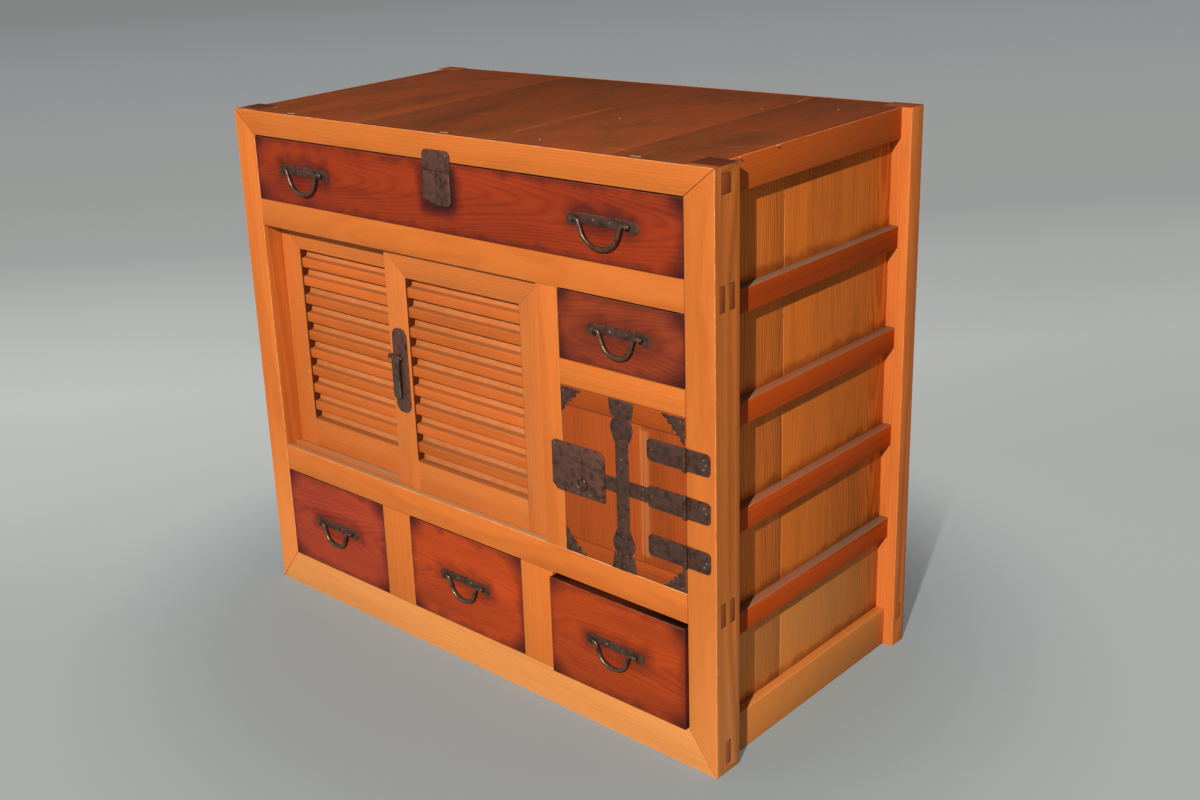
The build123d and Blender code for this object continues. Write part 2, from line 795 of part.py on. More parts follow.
# ---- Sliding doors -------------------------------------------------------------------------------
def slats(x0, face_y):
    """The louvre slats of a sliding door, each with an upstand behind its gap, housed in both stiles."""
    z0 = sill_z1 + door_lift_gap + door_bottom_rail_h
    z1 = head_z0 - door_lift_gap - door_top_rail_h
    pitch = (z1 - z0 - slat_gap_h) / (slat_count - 1)
    face_h = pitch - slat_gap_h
    y = face_y + slat_setback
    x1 = x0 + sliding_w - door_stile_w + slat_housing
    start = x0 + door_stile_w - slat_housing
    pieces = []
    for i in range(slat_count):
        z = z0 + i * pitch
        foot = z if i == 0 else z - face_h
        front = ((y + slat_floor_d, z),)
        if i > 0:
            front = ((y, foot), (y, z), (y + slat_floor_d, z + slat_floor_rise))
        back = (
            (y + slat_upstand_d, z + slat_upstand_h),
            (y + slat_d, z + slat_upstand_h),
            (y + slat_d, foot),
        )
        face = Plane.YZ * Polygon(*front, *back, align=None)
        pieces.append(Pos(start, 0, 0) * extrude(face, amount=x1 - start, dir=(1, 0, 0)))
    return pieces


def sliding_frame(x0, face_y):
    """Frame of a sliding door: mitred at the top, tenoned at the bottom, tongued for its grooves."""
    x1 = x0 + sliding_w
    inner = (x0 + door_stile_w, x1 - door_stile_w)
    z0, z1 = sill_z1 + door_lift_gap, head_z0 - door_lift_gap
    rail_z = (z0 + door_bottom_rail_h, z1 - door_top_rail_h)
    y = (face_y, face_y + door_t)
    tongue_y = (face_y, face_y + tongue_t)
    low = (z0 - lower_tongue, z0)
    top = plate(((x0, z1), (x1, z1), (inner[1], rail_z[1]), (inner[0], rail_z[1])), *y)
    top = top + block((x0, x1), tongue_y, (z1, z1 + upper_tongue))
    left = plate(((x0, z0), (inner[0], z0), (inner[0], rail_z[1]), (x0, z1)), *y)
    right = plate(((inner[1], z0), (x1, z0), (x1, z1), (inner[1], rail_z[1])), *y)
    left = left + block((x0, inner[0]), tongue_y, low)
    right = right + block((inner[1], x1), tongue_y, low)
    bottom = block(inner, y, (z0, rail_z[0])) + block(inner, tongue_y, low)
    tenon_y = (face_y + (door_t - door_tenon_t) / 2, face_y + (door_t + door_tenon_t) / 2)
    tenon_x = (inner[0] - door_tenon_l, inner[1] + door_tenon_l)
    tenon = block(tenon_x, tenon_y, (z0 + blind_shoulder, rail_z[0] - blind_shoulder))
    tools = [tenon] + slats(x0, face_y)
    return [top, bottom + tenon, cut(left, tools), cut(right, tools)]


def latch_places():
    """X of the latch plate's left edge, and of the bar and both lugs beside it."""
    plate_x = right_door_x + (door_stile_w - latch_w) / 2
    bar_x = plate_x + latch_lug_t + latch_lug_gap
    right_lug_x = bar_x + latch_bar_w + latch_lug_gap
    return plate_x, bar_x, right_lug_x


def latch_axis():
    """Y and Z of the pin that the latch bar hangs on."""
    return door_setback - plate_t - latch_standoff, latch_z + latch_pivot_rise


def latch_plate():
    """Plate of the sliding doors' latch with two lugs."""
    plate_x, bar_x, right_lug_x = latch_places()
    y, z = latch_axis()
    face = door_setback - plate_t
    outline = RectangleRounded(latch_w, latch_h, latch_r)
    shape = flat(outline, plate_x + latch_w / 2, latch_z, face, door_setback)
    for x in (plate_x, right_lug_x):
        span = (x, x + latch_lug_t)
        shape = shape + rod_x(latch_head_r, *span, y, z)
        shape = shape + block(span, (y, face), (z - latch_head_r, z + latch_head_r))
        shape = shape - rod_x(latch_pin_r + hinge_bore_gap, *span, y, z)
    return shape


def latch_pin():
    """Pin of the latch, with its round head on the left."""
    plate_x, _, right_lug_x = latch_places()
    y, z = latch_axis()
    end = right_lug_x + latch_lug_t + latch_head_l
    head_x = plate_x - latch_lug_gap
    pin = rod_x(latch_pin_r, head_x, end, y, z)
    return pin + rod_x(latch_head_r, head_x - latch_head_l, head_x, y, z)


def latch_bar():
    """Bar that hangs on the latch pin."""
    _, bar_x, _ = latch_places()
    y, z = latch_axis()
    x1 = bar_x + latch_bar_w
    z0 = z - latch_bar_l
    shape = block((bar_x, x1), (y - latch_bar_t / 2, y + latch_bar_t / 2), (z0, z))
    shape = fillet(shape.edges().filter_by(Axis.Y).group_by(Axis.Z)[0], latch_bar_r)
    shape = shape + rod_x(latch_head_r, bar_x, x1, y, z)
    return shape - rod_x(latch_pin_r + bail_bore_gap, bar_x, x1, y, z)


# ---- Hinged door ---------------------------------------------------------------------------------
def hinged_outline():
    """X and Z of the hinged door's edges."""
    x = (stile_x1 + hinged_gap, open_x1 - hinged_gap)
    return x, (door_low, door_high)


def hinged_boards():
    """The two upright boards of the hinged door and its end clamps."""
    x, z = hinged_outline()
    z_low, z_high = z[0] + clamp_bottom_h, z[1] - clamp_top_h
    y = (0, hinged_t)
    tongue_y = ((hinged_t - clamp_tongue_t) / 2, (hinged_t + clamp_tongue_t) / 2)
    tongue = block(x, tongue_y, (z_low - clamp_tongue, z_high + clamp_tongue))
    bottom = block(x, y, (z[0], z_low)) - tongue
    top = block(x, y, (z_high, z[1])) - tongue
    split = x[0] + door_board_split
    boards = []
    for x0, x1 in ((x[0], split - board_gap / 2), (split + board_gap / 2, x[1])):
        board = block((x0, x1), y, (z_low, z_high))
        strip = block((x0, x1), tongue_y, (z_low - clamp_tongue, z_high + clamp_tongue))
        boards.append(board + strip)
    return boards + [bottom, top]


def knuckle(z0, z1):
    """One knuckle of a hinge, bored for its pin."""
    middle = Pos(hinge_x, hinge_y, (z0 + z1) / 2)
    return middle * (Cylinder(knuckle_r, z1 - z0) - Cylinder(hinge_pin_r + hinge_bore_gap, z1 - z0))


def hinge_spans(z):
    """The three stretches of a hinge: post knuckle, door knuckle, post knuckle."""
    third = leaf_h / 3
    z0 = z - leaf_h / 2
    middle = (z0 + third + knuckle_gap, z0 + 2 * third - knuckle_gap)
    return [(z0, z0 + third), middle, (z0 + 2 * third, z0 + leaf_h)]


def hinge_leaf(z, far_x, on_door):
    """A hinge leaf from its knuckles out to far_x, with the corners there rounded."""
    clear = knuckle_r + knuckle_gap
    side = -1 if on_door else 1
    near_x = hinge_x + side * clear
    x = (min(near_x, far_x), max(near_x, far_x))
    shape = block(x, (-iron_t, 0), (z - leaf_h / 2, z + leaf_h / 2))
    corners = shape.edges().filter_by(Axis.Y).group_by(Axis.X)[0 if on_door else -1]
    shape = fillet(corners, leaf_r)
    spans = hinge_spans(z)
    for span in [spans[1]] if on_door else [spans[0], spans[2]]:
        reach = (min(near_x, hinge_x), max(near_x, hinge_x))
        web = block(reach, (-iron_t, 0), span) - Pos(hinge_x, hinge_y, z) * Cylinder(
            hinge_pin_r + hinge_bore_gap, leaf_h
        )
        shape = shape + web + knuckle(*span)
    return shape


def hinge_pin(z):
    """A hinge pin with its head on top."""
    base = Pos(hinge_x, hinge_y, z) * Cylinder(hinge_pin_r, leaf_h)
    head_z = z + (leaf_h + pin_head_h) / 2
    return base + Pos(hinge_x, hinge_y, head_z) * Cylinder(pin_head_r, pin_head_h)


def door_leaves():
    """Door leaves of the three hinges; the middle one runs on as a strap to the cross."""
    leaves = [hinge_leaf(z, hinge_x - leaf_door_l, True) for z in hinge_zs]
    z = hinge_zs[1]
    x = (strap_x + strap_w / 2, hinge_x - leaf_door_l + leaf_r)
    leaves[1] = leaves[1] + block(x, (-iron_t, 0), (z - strap_h / 2, z + strap_h / 2))
    return leaves


def strap_end(z_end, up):
    """The shaped end of the upright strap: a flare, a waist and a round bulge."""
    waist_z = z_end - up * strap_waist_l
    half, waist = strap_end_w / 2, strap_waist_w / 2
    flare = plate(
        (
            (strap_x - half, z_end),
            (strap_x + half, z_end),
            (strap_x + waist, waist_z),
            (strap_x - waist, waist_z),
        ),
        -iron_t,
        0,
    )
    bulge_z = z_end - up * strap_bulge_l
    bulge = flat(Circle(strap_bulge_r), strap_x, bulge_z, -iron_t, 0)
    shoulder = sqrt(strap_bulge_r**2 - strap_taper_drop**2)
    shoulder_z = bulge_z - up * strap_taper_drop
    plain_z = z_end - up * strap_taper_l
    taper = plate(
        (
            (strap_x - shoulder, shoulder_z),
            (strap_x + shoulder, shoulder_z),
            (strap_x + strap_w / 2, plain_z),
            (strap_x - strap_w / 2, plain_z),
        ),
        -iron_t,
        0,
    )
    return flare + bulge + taper


def cross_straps():
    """The upright strap, and the short strap from it to the lock plate."""
    _, z = hinged_outline()
    x = (strap_x - strap_w / 2, strap_x + strap_w / 2)
    shape = block(x, (-iron_t, 0), z) + strap_end(z[1], 1) + strap_end(z[0], -1)
    mid = hinge_zs[1]
    lock_x1 = stile_x1 - lockplate_lap + lockplate_w
    stub = block((lock_x1, x[0]), (-iron_t, 0), (mid - strap_h / 2, mid + strap_h / 2))
    return [shape, stub]


def corner_irons():
    """Four pierced triangular irons at the corners of the hinged door, their long edge cusped."""
    x, z = hinged_outline()
    irons = []
    for corner_x, toward_x in ((x[0] + iron_inset, 1), (x[1] - iron_inset, -1)):
        for corner_z, toward_z in ((z[0] + iron_inset, 1), (z[1] - iron_inset, -1)):
            far = (corner_x + toward_x * iron_leg, corner_z + toward_z * iron_leg)
            points = ((corner_x, corner_z), (far[0], corner_z), (corner_x, far[1]))
            shape = plate(points, -iron_t, 0)
            for share in iron_cusp_places:
                cusp_x = corner_x + toward_x * iron_leg * share
                cusp_z = corner_z + toward_z * iron_leg * (1 - share)
                shape = shape - flat(Circle(iron_cusp_r), cusp_x, cusp_z, -iron_t, 0)
            irons.append(shape)
    return irons


def lock_plate():
    """Lock plate of the hinged door, lapped over the stile, with the ring's lug."""
    x0 = stile_x1 - lockplate_lap
    x1 = x0 + lockplate_w
    z0, z1 = lockplate_z - lockplate_h / 2, lockplate_z + lockplate_h / 2
    clip = lockplate_clip
    points = (
        (x0 + clip, z0),
        (x1 - clip / 4, z0),
        (x1, z0 + clip / 4),
        (x1, z1 - clip),
        (x1 - clip, z1),
        (x0 + clip / 2, z1),
        (x0, z1 - clip / 2),
        (x0, z0 + clip),
    )
    front = -lap_gap - lockplate_t
    shape = plate(points, front, -lap_gap)
    door_x0 = hinged_outline()[0][0]
    seat = block((door_x0 + clip / 4, x1 - clip), (-lap_gap, 0), (z0 + clip, z1 - clip))
    shape = shape + seat
    span, axis_y, axis_z = ring_lug()
    lug = ring_wire_r + ring_bore_gap + ring_lug_wall
    shape = shape + rod_x(lug, *span, axis_y, axis_z)
    shape = shape + block(span, (axis_y, front), (axis_z - lug, axis_z + lug))
    shape = shape - rod_x(ring_wire_r + ring_bore_gap, *span, axis_y, axis_z)
    return shape - keyhole(ring_x, lockplate_z + hinged_keyhole_rise, front, 0)


def ring_lug():
    """X span of the ring's lug, and Y and Z of the axis that the ring turns on."""
    span = (ring_x - ring_lug_t / 2, ring_x + ring_lug_t / 2)
    return span, -lap_gap - lockplate_t - ring_standoff, lockplate_z - ring_drop


def ring_pull():
    """Small ring that hangs in its lug."""
    _, axis_y, axis_z = ring_lug()
    return Pos(ring_x, axis_y, axis_z - ring_r) * Rot(90, 0, 0) * Torus(ring_r, ring_wire_r)


# ---- The three lower drawers and the other two, by name ------------------------------------------
left_door_x = open_x0 + door_end_gap
right_door_x = stile_x0 - door_end_gap - sliding_w
rear_door_y = door_setback + door_pitch

drawers = {
    "top": (open_x0, open_x1, head_z1, top_rail_z0, drawer_top_gap),
    "small": (stile_x1, open_x1, short_rail_z1, head_z0, drawer_top_gap),
}
for i, name in enumerate(("lower_left", "lower_middle", "lower_right")):
    left = open_x0 + i * (bay_w + mullion_w)
    gap = worn_top_gap if name == "lower_right" else drawer_top_gap
    drawers[name] = (left, left + bay_w, lower_z0, sill_z0, gap)


def handle_places(name):
    """Middle of each handle on a drawer: X, and the height above the floor."""
    x0, x1, z0, z1, _ = drawers[name]
    z = (z0 + z1) / 2 + handle_rise
    middle = (x0 + x1) / 2
    if name == "top":
        middle += large_handle_shift
        return [(middle - large_handle_spread / 2, z), (middle + large_handle_spread / 2, z)]
    return [(middle, z)]


def save_drawer(name):
    """Front, box, handle plates and bails of one drawer."""
    x, z = drawer_space(*drawers[name])
    out = worn_drawer_out if name == "lower_right" else 0.0
    opened = Location((0, -out, 0))
    save(f"{name}_drawer_front", opened * drawer_front(x, z))
    save(f"{name}_drawer_box", *[opened * piece for piece in drawer_box(x, z)])
    large = name == "top"
    plate_w, plate_h = (large_plate_w, large_plate_h) if large else (small_plate_w, small_plate_h)
    bail_w, drop = (large_bail_w, large_bail_drop) if large else (small_bail_w, small_bail_drop)
    places = handle_places(name)
    save(
        f"{name}_handle_plate",
        *[opened * handle_plate(px, pz, plate_w, plate_h, bail_w) for px, pz in places],
    )
    ends = ("left_", "right_") if large else ("",)
    for end, (px, pz) in zip(ends, places):
        save(f"{name}_{end}bail", opened * bail(px, pz, bail_w, drop))


def save_carcass():
    """Every fixed piece."""
    save("front_left_post", front_post(False))
    save("front_right_post", front_post(True))
    save("back_posts", *back_posts())
    save("front_top_rail", top_rail())
    save("front_upper_rail", upper_rail())
    save("front_lower_rail", lower_rail())
    save("front_bottom_rail", bottom_rail())
    save("bay_stile", stile())
    save("bay_rail", short_rail())
    save("drawer_mullions", *mullions())
    sides = {"rails": side_rails(), "battens": side_battens(), "boards": side_boards()}
    for name, pieces in sides.items():
        save(f"side_{name}", *[other_side(piece) for piece in pieces], *pieces)
    save("back_rails", *back_rails())
    save("back_boards", *back_boards())
    save("top_boards", *top_boards())
    save("top_pegs", *pegs())
    across = (width - panel_x0, panel_x0)
    for name, z in (("upper_shelf", head_z1), ("lower_shelf", sill_z1)):
        save(name, shelf(*across, door_rail_d, back_board_y, z))
    save("bottom_board", shelf(*across, outer_rail_d, back_rail_y0, lower_z0))
    bay_x0 = (stile_x0 + stile_x1 + partition_t) / 2
    save("small_drawer_shelf", shelf(bay_x0, panel_x0, inner_rail_d, back_board_y, short_rail_z1))
    save("partition_boards", *partition_boards())
    save("drawer_runners", *side_runners(), *inner_runners())
    save("hinge_post_leaves", *[hinge_leaf(z, hinge_x + leaf_post_l, False) for z in hinge_zs])
    save("hinge_pins", *[hinge_pin(z) for z in hinge_zs])


def save_doors():
    """Both sliding doors with the latch, and the hinged door with its irons."""
    save("left_sliding_frame", *sliding_frame(left_door_x, rear_door_y))
    save("left_sliding_slats", *slats(left_door_x, rear_door_y))
    save("right_sliding_frame", *sliding_frame(right_door_x, door_setback))
    save("right_sliding_slats", *slats(right_door_x, door_setback))
    save("latch_plate", latch_plate())
    save("latch_pin", latch_pin())
    save("latch_bar", latch_bar())
    save("hinged_door_boards", *hinged_boards())
    save("hinge_door_leaves", *door_leaves())
    save("door_cross_straps", *cross_straps())
    save("door_corner_irons", *corner_irons())
    save("door_lock_plate", lock_plate())
    save("door_ring_pull", ring_pull())


os.makedirs("parts", exist_ok=True)
save_carcass()
save_doors()
for drawer_name in drawers:
    save_drawer(drawer_name)
save("top_drawer_lock", *top_lock(top_rail_z0 - drawer_top_gap))
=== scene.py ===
"""The dressed model of a small mizuya kitchen cabinet: joinery, drawers, doors and ironwork."""

import logging
import math
import random
from dataclasses import dataclass, replace
from enum import Enum
from functools import cache
from typing import Sequence

import bmesh
import bpy
from mathutils import Matrix, Quaternion, Vector
from mathutils.bvhtree import BVHTree


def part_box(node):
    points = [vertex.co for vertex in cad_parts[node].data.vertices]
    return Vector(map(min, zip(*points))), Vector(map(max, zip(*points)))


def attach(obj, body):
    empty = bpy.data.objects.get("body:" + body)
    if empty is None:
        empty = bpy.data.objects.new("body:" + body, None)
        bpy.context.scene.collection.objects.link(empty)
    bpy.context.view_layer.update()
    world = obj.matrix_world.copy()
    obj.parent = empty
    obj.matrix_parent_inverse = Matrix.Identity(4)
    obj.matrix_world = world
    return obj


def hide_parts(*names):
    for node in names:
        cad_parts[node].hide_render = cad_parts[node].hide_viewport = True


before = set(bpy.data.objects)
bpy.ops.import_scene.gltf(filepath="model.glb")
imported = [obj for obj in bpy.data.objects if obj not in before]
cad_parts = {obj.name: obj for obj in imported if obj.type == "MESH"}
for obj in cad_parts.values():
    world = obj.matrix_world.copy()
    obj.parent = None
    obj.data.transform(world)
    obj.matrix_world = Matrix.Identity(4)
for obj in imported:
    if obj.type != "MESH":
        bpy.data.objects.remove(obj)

log = logging.getLogger("cabinet")
Colour = tuple[float, float, float, float]
Area = tuple[float, float, float, float]  # left, right, bottom and top of an upright rectangle, in metres

MM = 0.001
FRONT_LEFT = Vector((-440.0, -217.95, 0.0))  # the front left foot in the row frame, in mm
BEFORE_ALL = -120.0  # a plane in front of the whole cabinet, as Y in mm from the front left foot
UP = Vector((0, 0, 1))
FORWARD = Vector((0, -1, 0))
ALL_ROUND = 2.0  # half the width of a stain that takes in the whole cabinet, in metres

SHARP = math.radians(32)  # faces that meet more sharply than this have an arris between them
LEVEL = math.radians(0.5)  # triangles that meet less sharply than this are one face
WELD = 0.002 * MM  # corners closer than this are one
SLIVER = 0.001 * MM  # the width of the strip that stands for an arris
SEAM_REACH = 0.5 * MM  # an arris this close to another piece is a seam
SEAM_SHARE = 0.8  # something nearer than this share of the reach isn't the arris itself
HAND_REACH = 20 * MM  # the room that a hand needs round an arris to rub it
HAND_SHARE = 0.9  # something nearer than this share of the room is in the hand's way
BARE_AREA = 100 * MM * MM  # smaller faces were stained with their neighbours

TIP = 1.2 * MM  # this close to a board's end, a face shows end grain
END_FACING = 0.9  # so does a face that looks along the board
TIP_WEAR = 0.25  # end grain keeps its stain where an arris would lose it
PITH_ACROSS_SPREAD = (0.7, 1.4)  # how boards from one log differ, as shares of their sawing
PITH_BEHIND_SPREAD = (0.8, 1.3)
CLIMB_SPREAD = (0.6, 1.5)
LOG_PLACES = (3.0, 60.0)  # metres along the log; no two boards share a figure
NAIL_HEAD = ((0.0, 1.0), (0.45, 0.9), (0.8, 0.55), (1.0, 0.1), (1.0, -0.4), (0.0, -0.4))
RIVET_KNOB = ((0.0, -0.1), (0.8, -0.1), (1.0, 0.15), (1.0, 0.5), (0.8, 0.85), (0.45, 1.0), (0.0, 1.0))

# How many marks go into a metre, across, through and along a board, or all ways alike.
RING_BENDS = (9.0, 9.0, 2.2)  # year rings swing over a hand's width
FIBRES = (650.0, 650.0, 14.0)  # far finer than a millimetre in real wood; 1.5 mm here, so that they show
YEARS = 90.0  # good and poor years come in runs of 11 mm
PIN_HOLES = 17.0  # pin holes and dents lie 60 mm apart
FRAYS = 38.0  # stains have ragged outlines of 26 mm
RUBS = 55.0  # hands wear through in spots of 18 mm
BLOWS = 110.0  # hammer marks on iron are 9 mm across
PITS = 640.0  # scale pits are 1.5 mm across
RUST_BLOOMS = 60.0  # patches of brown rust are 17 mm across


def linear(code: str) -> Colour:
    """Turns an sRGB hex colour into a linear one.

    Args:
        code: the colour as "#RRGGBB".

    Returns:
        Linear red, green and blue, and an alpha of 1.
    """
    channels = [int(code[i:i + 2], 16) / 255 for i in (1, 3, 5)]
    red, green, blue = [c / 12.92 if c <= 0.04045 else ((c + 0.055) / 1.055) ** 2.4 for c in channels]
    return red, green, blue, 1.0


def grey(value: float) -> Colour:
    """A neutral stop for a ramp that is used as a curve."""
    return value, value, value, 1.0


def blank(name: str) -> bpy.types.Material:
    """Starts a material with an empty node tree.

    Args:
        name: the material's name.

    Returns:
        The new material.
    """
    made = bpy.data.materials.new(name)
    made.use_nodes = True
    made.node_tree.nodes.clear()
    return made


def add(
    tree: bpy.types.NodeTree,
    kind: str,
    inputs: dict[int | str, object] | None = None,
    stops: Sequence[tuple[float, Colour]] = (),
    **settings: object,
) -> bpy.types.Node:
    """Adds a node with its settings and links.

    Args:
        tree: the node tree to add to.
        kind: the node's Blender type, without its first words ShaderNode.
        inputs: input name or number to a value, to the socket that feeds it, or to a node whose first
            output in use feeds it.
        stops: places and colours of a colour ramp.
        settings: properties of the node.

    Returns:
        The new node.
    """
    node = tree.nodes.new(f"ShaderNode{kind}")
    for name, value in settings.items():
        setattr(node, name, value)
    for key, value in (inputs or {}).items():
        if isinstance(value, bpy.types.Node):
            value = next(output for output in value.outputs if output.enabled)
        if isinstance(value, bpy.types.NodeSocket):
            tree.links.new(value, node.inputs[key])
        else:
            node.inputs[key].default_value = value
    if stops:
        elements = node.color_ramp.elements
        while len(elements) < len(stops):
            elements.new(1.0)
        for element, (place, colour) in zip(elements, stops):
            element.position = place
            element.color = colour
    return node


def at(x: float, y: float, z: float) -> Vector:
    """Finds a place on the cabinet.

    Args:
        x: mm to the right of the front left foot.
        y: mm behind it.
        z: mm above the floor.

    Returns:
        The place in the row frame, in metres.
    """
    return (FRONT_LEFT + Vector((x, y, z))) * MM


def extent(node: str) -> tuple[Vector, Vector]:
    """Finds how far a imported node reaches.

    Args:
        node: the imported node's name.

    Returns:
        Its lowest and highest corners in the row frame, in metres.
    """
    low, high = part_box(node)
    return Vector(low), Vector(high)


def measured(node: str) -> tuple[Vector, Vector]:
    """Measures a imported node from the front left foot.

    Args:
        node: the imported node's name.

    Returns:
        Its lowest and highest corners, in mm.
    """
    low, high = extent(node)
    return low / MM - FRONT_LEFT, high / MM - FRONT_LEFT


# ---- How timber and iron are worked and worn ---------------------------------------------------
class Sawing(Enum):
    """Where a board lies in the log: pith across, pith behind the face (m), and its climb per metre."""

    FLAT = (0.004, 0.055, 0.050)
    RIFT = (0.110, 0.070, 0.012)
    QUARTER = (0.260, 0.020, 0.006)


class Along(Enum):
    """The row axis that a board's grain follows, or its own longest side."""

    X = 0
    Y = 1
    Z = 2
    LONGEST = 3


class Wear(Enum):
    """How far a face is rubbed: below 0 it holds grime instead, and above 1 the stain is gone."""

    SEAM = -1.0
    NAIL = 0.35
    SHELTERED = 0.45
    FREE = 1.0
    BARE = 2.0


@dataclass(frozen=True)
class Stain:
    """A change of colour that spreads from an upright rectangle: its middle and half its sides."""

    x: float
    z: float
    half_w: float
    half_h: float
    reach: float = 20 * MM
    depth: float = 0.9
    ragged: float = 1.0

    @property
    def area(self) -> Area:
        """The rectangle that it spreads from."""
        return self.x - self.half_w, self.x + self.half_w, self.z - self.half_h, self.z + self.half_h


@dataclass(frozen=True)
class Scratch:
    """A pale line on a face that looks up, where the colour is rubbed off: its ends as X and Y."""

    start: tuple[float, float]
    end: tuple[float, float]
    half_w: float = 0.7 * MM
    depth: float = 0.7
    end_fade: float = 8 * MM
    side_fade: float = 0.4 * MM


@dataclass(frozen=True)
class WoodFinish:
    """Softwood with the light and dark bands of its year rings, under worn stain.

    Sugi and hinoki cut for cabinets show rings 2 to 5 mm wide: broad soft early wood, and a thin hard
    late-wood line that takes the stain darker. Hands and cloths rub the arrises pale, and dust lies on
    whatever faces up; on the drawer fronts that coat is painted shadow instead, near black for the shade
    under the rail above. A depth is how much of its colour is laid on, from 0 to 1.

    Late wood colours the rings and fibres, `deep` the holes, dirty patches, stains and end grain, and
    `worn` the rubbed arrises. Rings pale to the share `faint_rings` in places, and good and poor years
    differ by `uneven_years` rings. Patches are sized as marks to the metre: 26 is 40 mm across the grain,
    and 3.5 is 290 mm along it. Frayed outlines lie between the two lengths of `fray`.
    """

    name: str
    early: str
    late: str
    deep: str
    worn: str
    ring: float = 3.2 * MM
    ring_depth: float = 0.5
    faint_rings: float = 0.55
    ring_wander: float = 24 * MM
    uneven_years: float = 2.2
    fibre_depth: float = 0.3
    patch_depth: float = 0.3
    patch_scale: tuple[float, float, float] = (26.0, 26.0, 3.5)
    dust_and_shadow: str = "#A68466"
    dust_and_shadow_depth: float = 0.0
    dust_and_shadow_slope: tuple[float, float] = (0.35, 0.8)
    edge_depth: float = 0.6
    seam_depth: float = 0.5
    end_depth: float = 0.4
    hole_depth: float = 0.7
    least_rub: float = 0.15
    fray: tuple[float, float] = (-7 * MM, 9 * MM)
    roughness: float = 0.55
    roughness_spread: tuple[float, float] = (-0.07, 0.12)
    specular: float = 0.3
    relief: float = 0.25
    relief_h: float = 0.4 * MM
    ring_relief: float = -0.5
    tone_depth: float = 0.12
    stains: tuple[Stain, ...] = ()
    bleach: tuple[Stain, ...] = ()
    bleached: str = "#EE9C54"
    scratches: tuple[Scratch, ...] = ()
    panel: Area | None = None
    corner_depth: float = 0.9
    corner_reach: float = 58 * MM
    rim_depth: float = 0.45
    rim_reach: float = 14 * MM
    sapwood: Area | None = None
    sapwood_depth: float = 0.4
    sapwood_fade: tuple[float, float] = (-1 * MM, 3 * MM)

    def rings(self, tree: bpy.types.NodeTree, place: bpy.types.NodeSocket) -> bpy.types.Node:
        """Draws year rings as dark late-wood bands.

        Args:
            tree: the material's node tree.
            place: coordinates whose Z runs along the board.

        Returns:
            0 in early wood to 1 in late wood.
        """
        slow = add(tree, "VectorMath", {0: place, 1: RING_BENDS}, operation="MULTIPLY")
        drift = add(tree, "TexNoise", {"Vector": slow, "Scale": 1.0, "Detail": 3.0}).outputs["Color"]
        centred = add(tree, "VectorMath", {0: drift, 1: (0.5, 0.5, 0.5)}, operation="SUBTRACT")
        shift = add(tree, "VectorMath", {0: centred, 3: self.ring_wander}, operation="SCALE")
        bent = add(tree, "VectorMath", {0: place, 1: shift}, operation="ADD")
        flat = add(tree, "VectorMath", {0: bent, 1: (1.0, 1.0, 0.0)}, operation="MULTIPLY")
        radius = add(tree, "VectorMath", {0: flat}, operation="LENGTH")
        years = add(tree, "TexNoise", {"W": radius, "Scale": YEARS, "Detail": 1.0}, noise_dimensions="1D")
        count = add(tree, "Math", {0: radius, 1: self.ring}, operation="DIVIDE")
        uneven = add(tree, "Math", {0: years, 1: self.uneven_years, 2: count}, operation="MULTIPLY_ADD")
        within = add(tree, "Math", {0: uneven}, operation="FRACT")
        stops = ((0.0, grey(0.3)), (0.14, grey(0.0)), (0.5, grey(0.15)), (0.84, grey(1.0)), (1.0, grey(0.3)))
        return add(tree, "ValToRGB", {0: within}, stops=stops)

    def inside(self, tree: bpy.types.NodeTree, own: bpy.types.NodeSocket, area: Area) -> bpy.types.Node:
        """Measures how far inside an upright rectangle each point lies.

        Args:
            tree: the material's node tree.
            own: Object coordinates.
            area: the rectangle.

        Returns:
            The distances in from its sides as X, and in from its bottom and top as Z.
        """
        left, right, bottom, top = area
        middle = ((left + right) / 2, 0.0, (bottom + top) / 2)
        half = ((right - left) / 2, 9.0, (top - bottom) / 2)  # it is far deeper than the cabinet
        near = add(tree, "VectorMath", {0: own, 1: middle}, operation="SUBTRACT")
        size = add(tree, "VectorMath", {0: near}, operation="ABSOLUTE")
        return add(tree, "VectorMath", {0: half, 1: size}, operation="SUBTRACT")

    def stain_mask(
        self,
        tree: bpy.types.NodeTree,
        own: bpy.types.NodeSocket,
        ragged: bpy.types.Node,
        stains: Sequence[Stain],
        panel: Area | None = None,
    ) -> bpy.types.Node:
        """Draws stains, and the dark corners and rim of a front.

        Args:
            tree: the material's node tree.
            own: Object coordinates.
            ragged: a small irregular length that breaks up outlines.
            stains: where they are; there is at least one.
            panel: the front whose corners are dark.

        Returns:
            0 on clean wood to 1 in the darkest stain.
        """
        fades = []
        for stain in stains:
            inward = self.inside(tree, own, stain.area)
            beyond = add(tree, "VectorMath", {0: inward, 1: (0.0, 0.0, 0.0)}, operation="MINIMUM")
            gap = add(tree, "VectorMath", {0: beyond}, operation="LENGTH")
            away = add(tree, "Math", {0: ragged, 1: stain.ragged, 2: gap}, operation="MULTIPLY_ADD")
            fades.append((away, stain.reach, stain.depth))
        if panel is not None:
            sides = add(tree, "SeparateXYZ", {0: self.inside(tree, own, panel)})
            corner = ("ADD", self.corner_reach, self.corner_depth)
            rim = ("MINIMUM", self.rim_reach, self.rim_depth)
            for operation, reach, depth in (corner, rim):
                inward = add(tree, "Math", {0: sides.outputs[0], 1: sides.outputs[2]}, operation=operation)
                fades.append((add(tree, "Math", {0: inward, 1: ragged}, operation="ADD"), reach, depth))
        mask = None
        for away, reach, depth in fades:
            limits = {0: away, 1: 0.0, 2: reach, 3: depth, 4: 0.0}
            fade = add(tree, "MapRange", limits, interpolation_type="SMOOTHSTEP")
            mask = fade if mask is None else add(tree, "Math", {0: mask, 1: fade}, operation="MAXIMUM")
        return mask

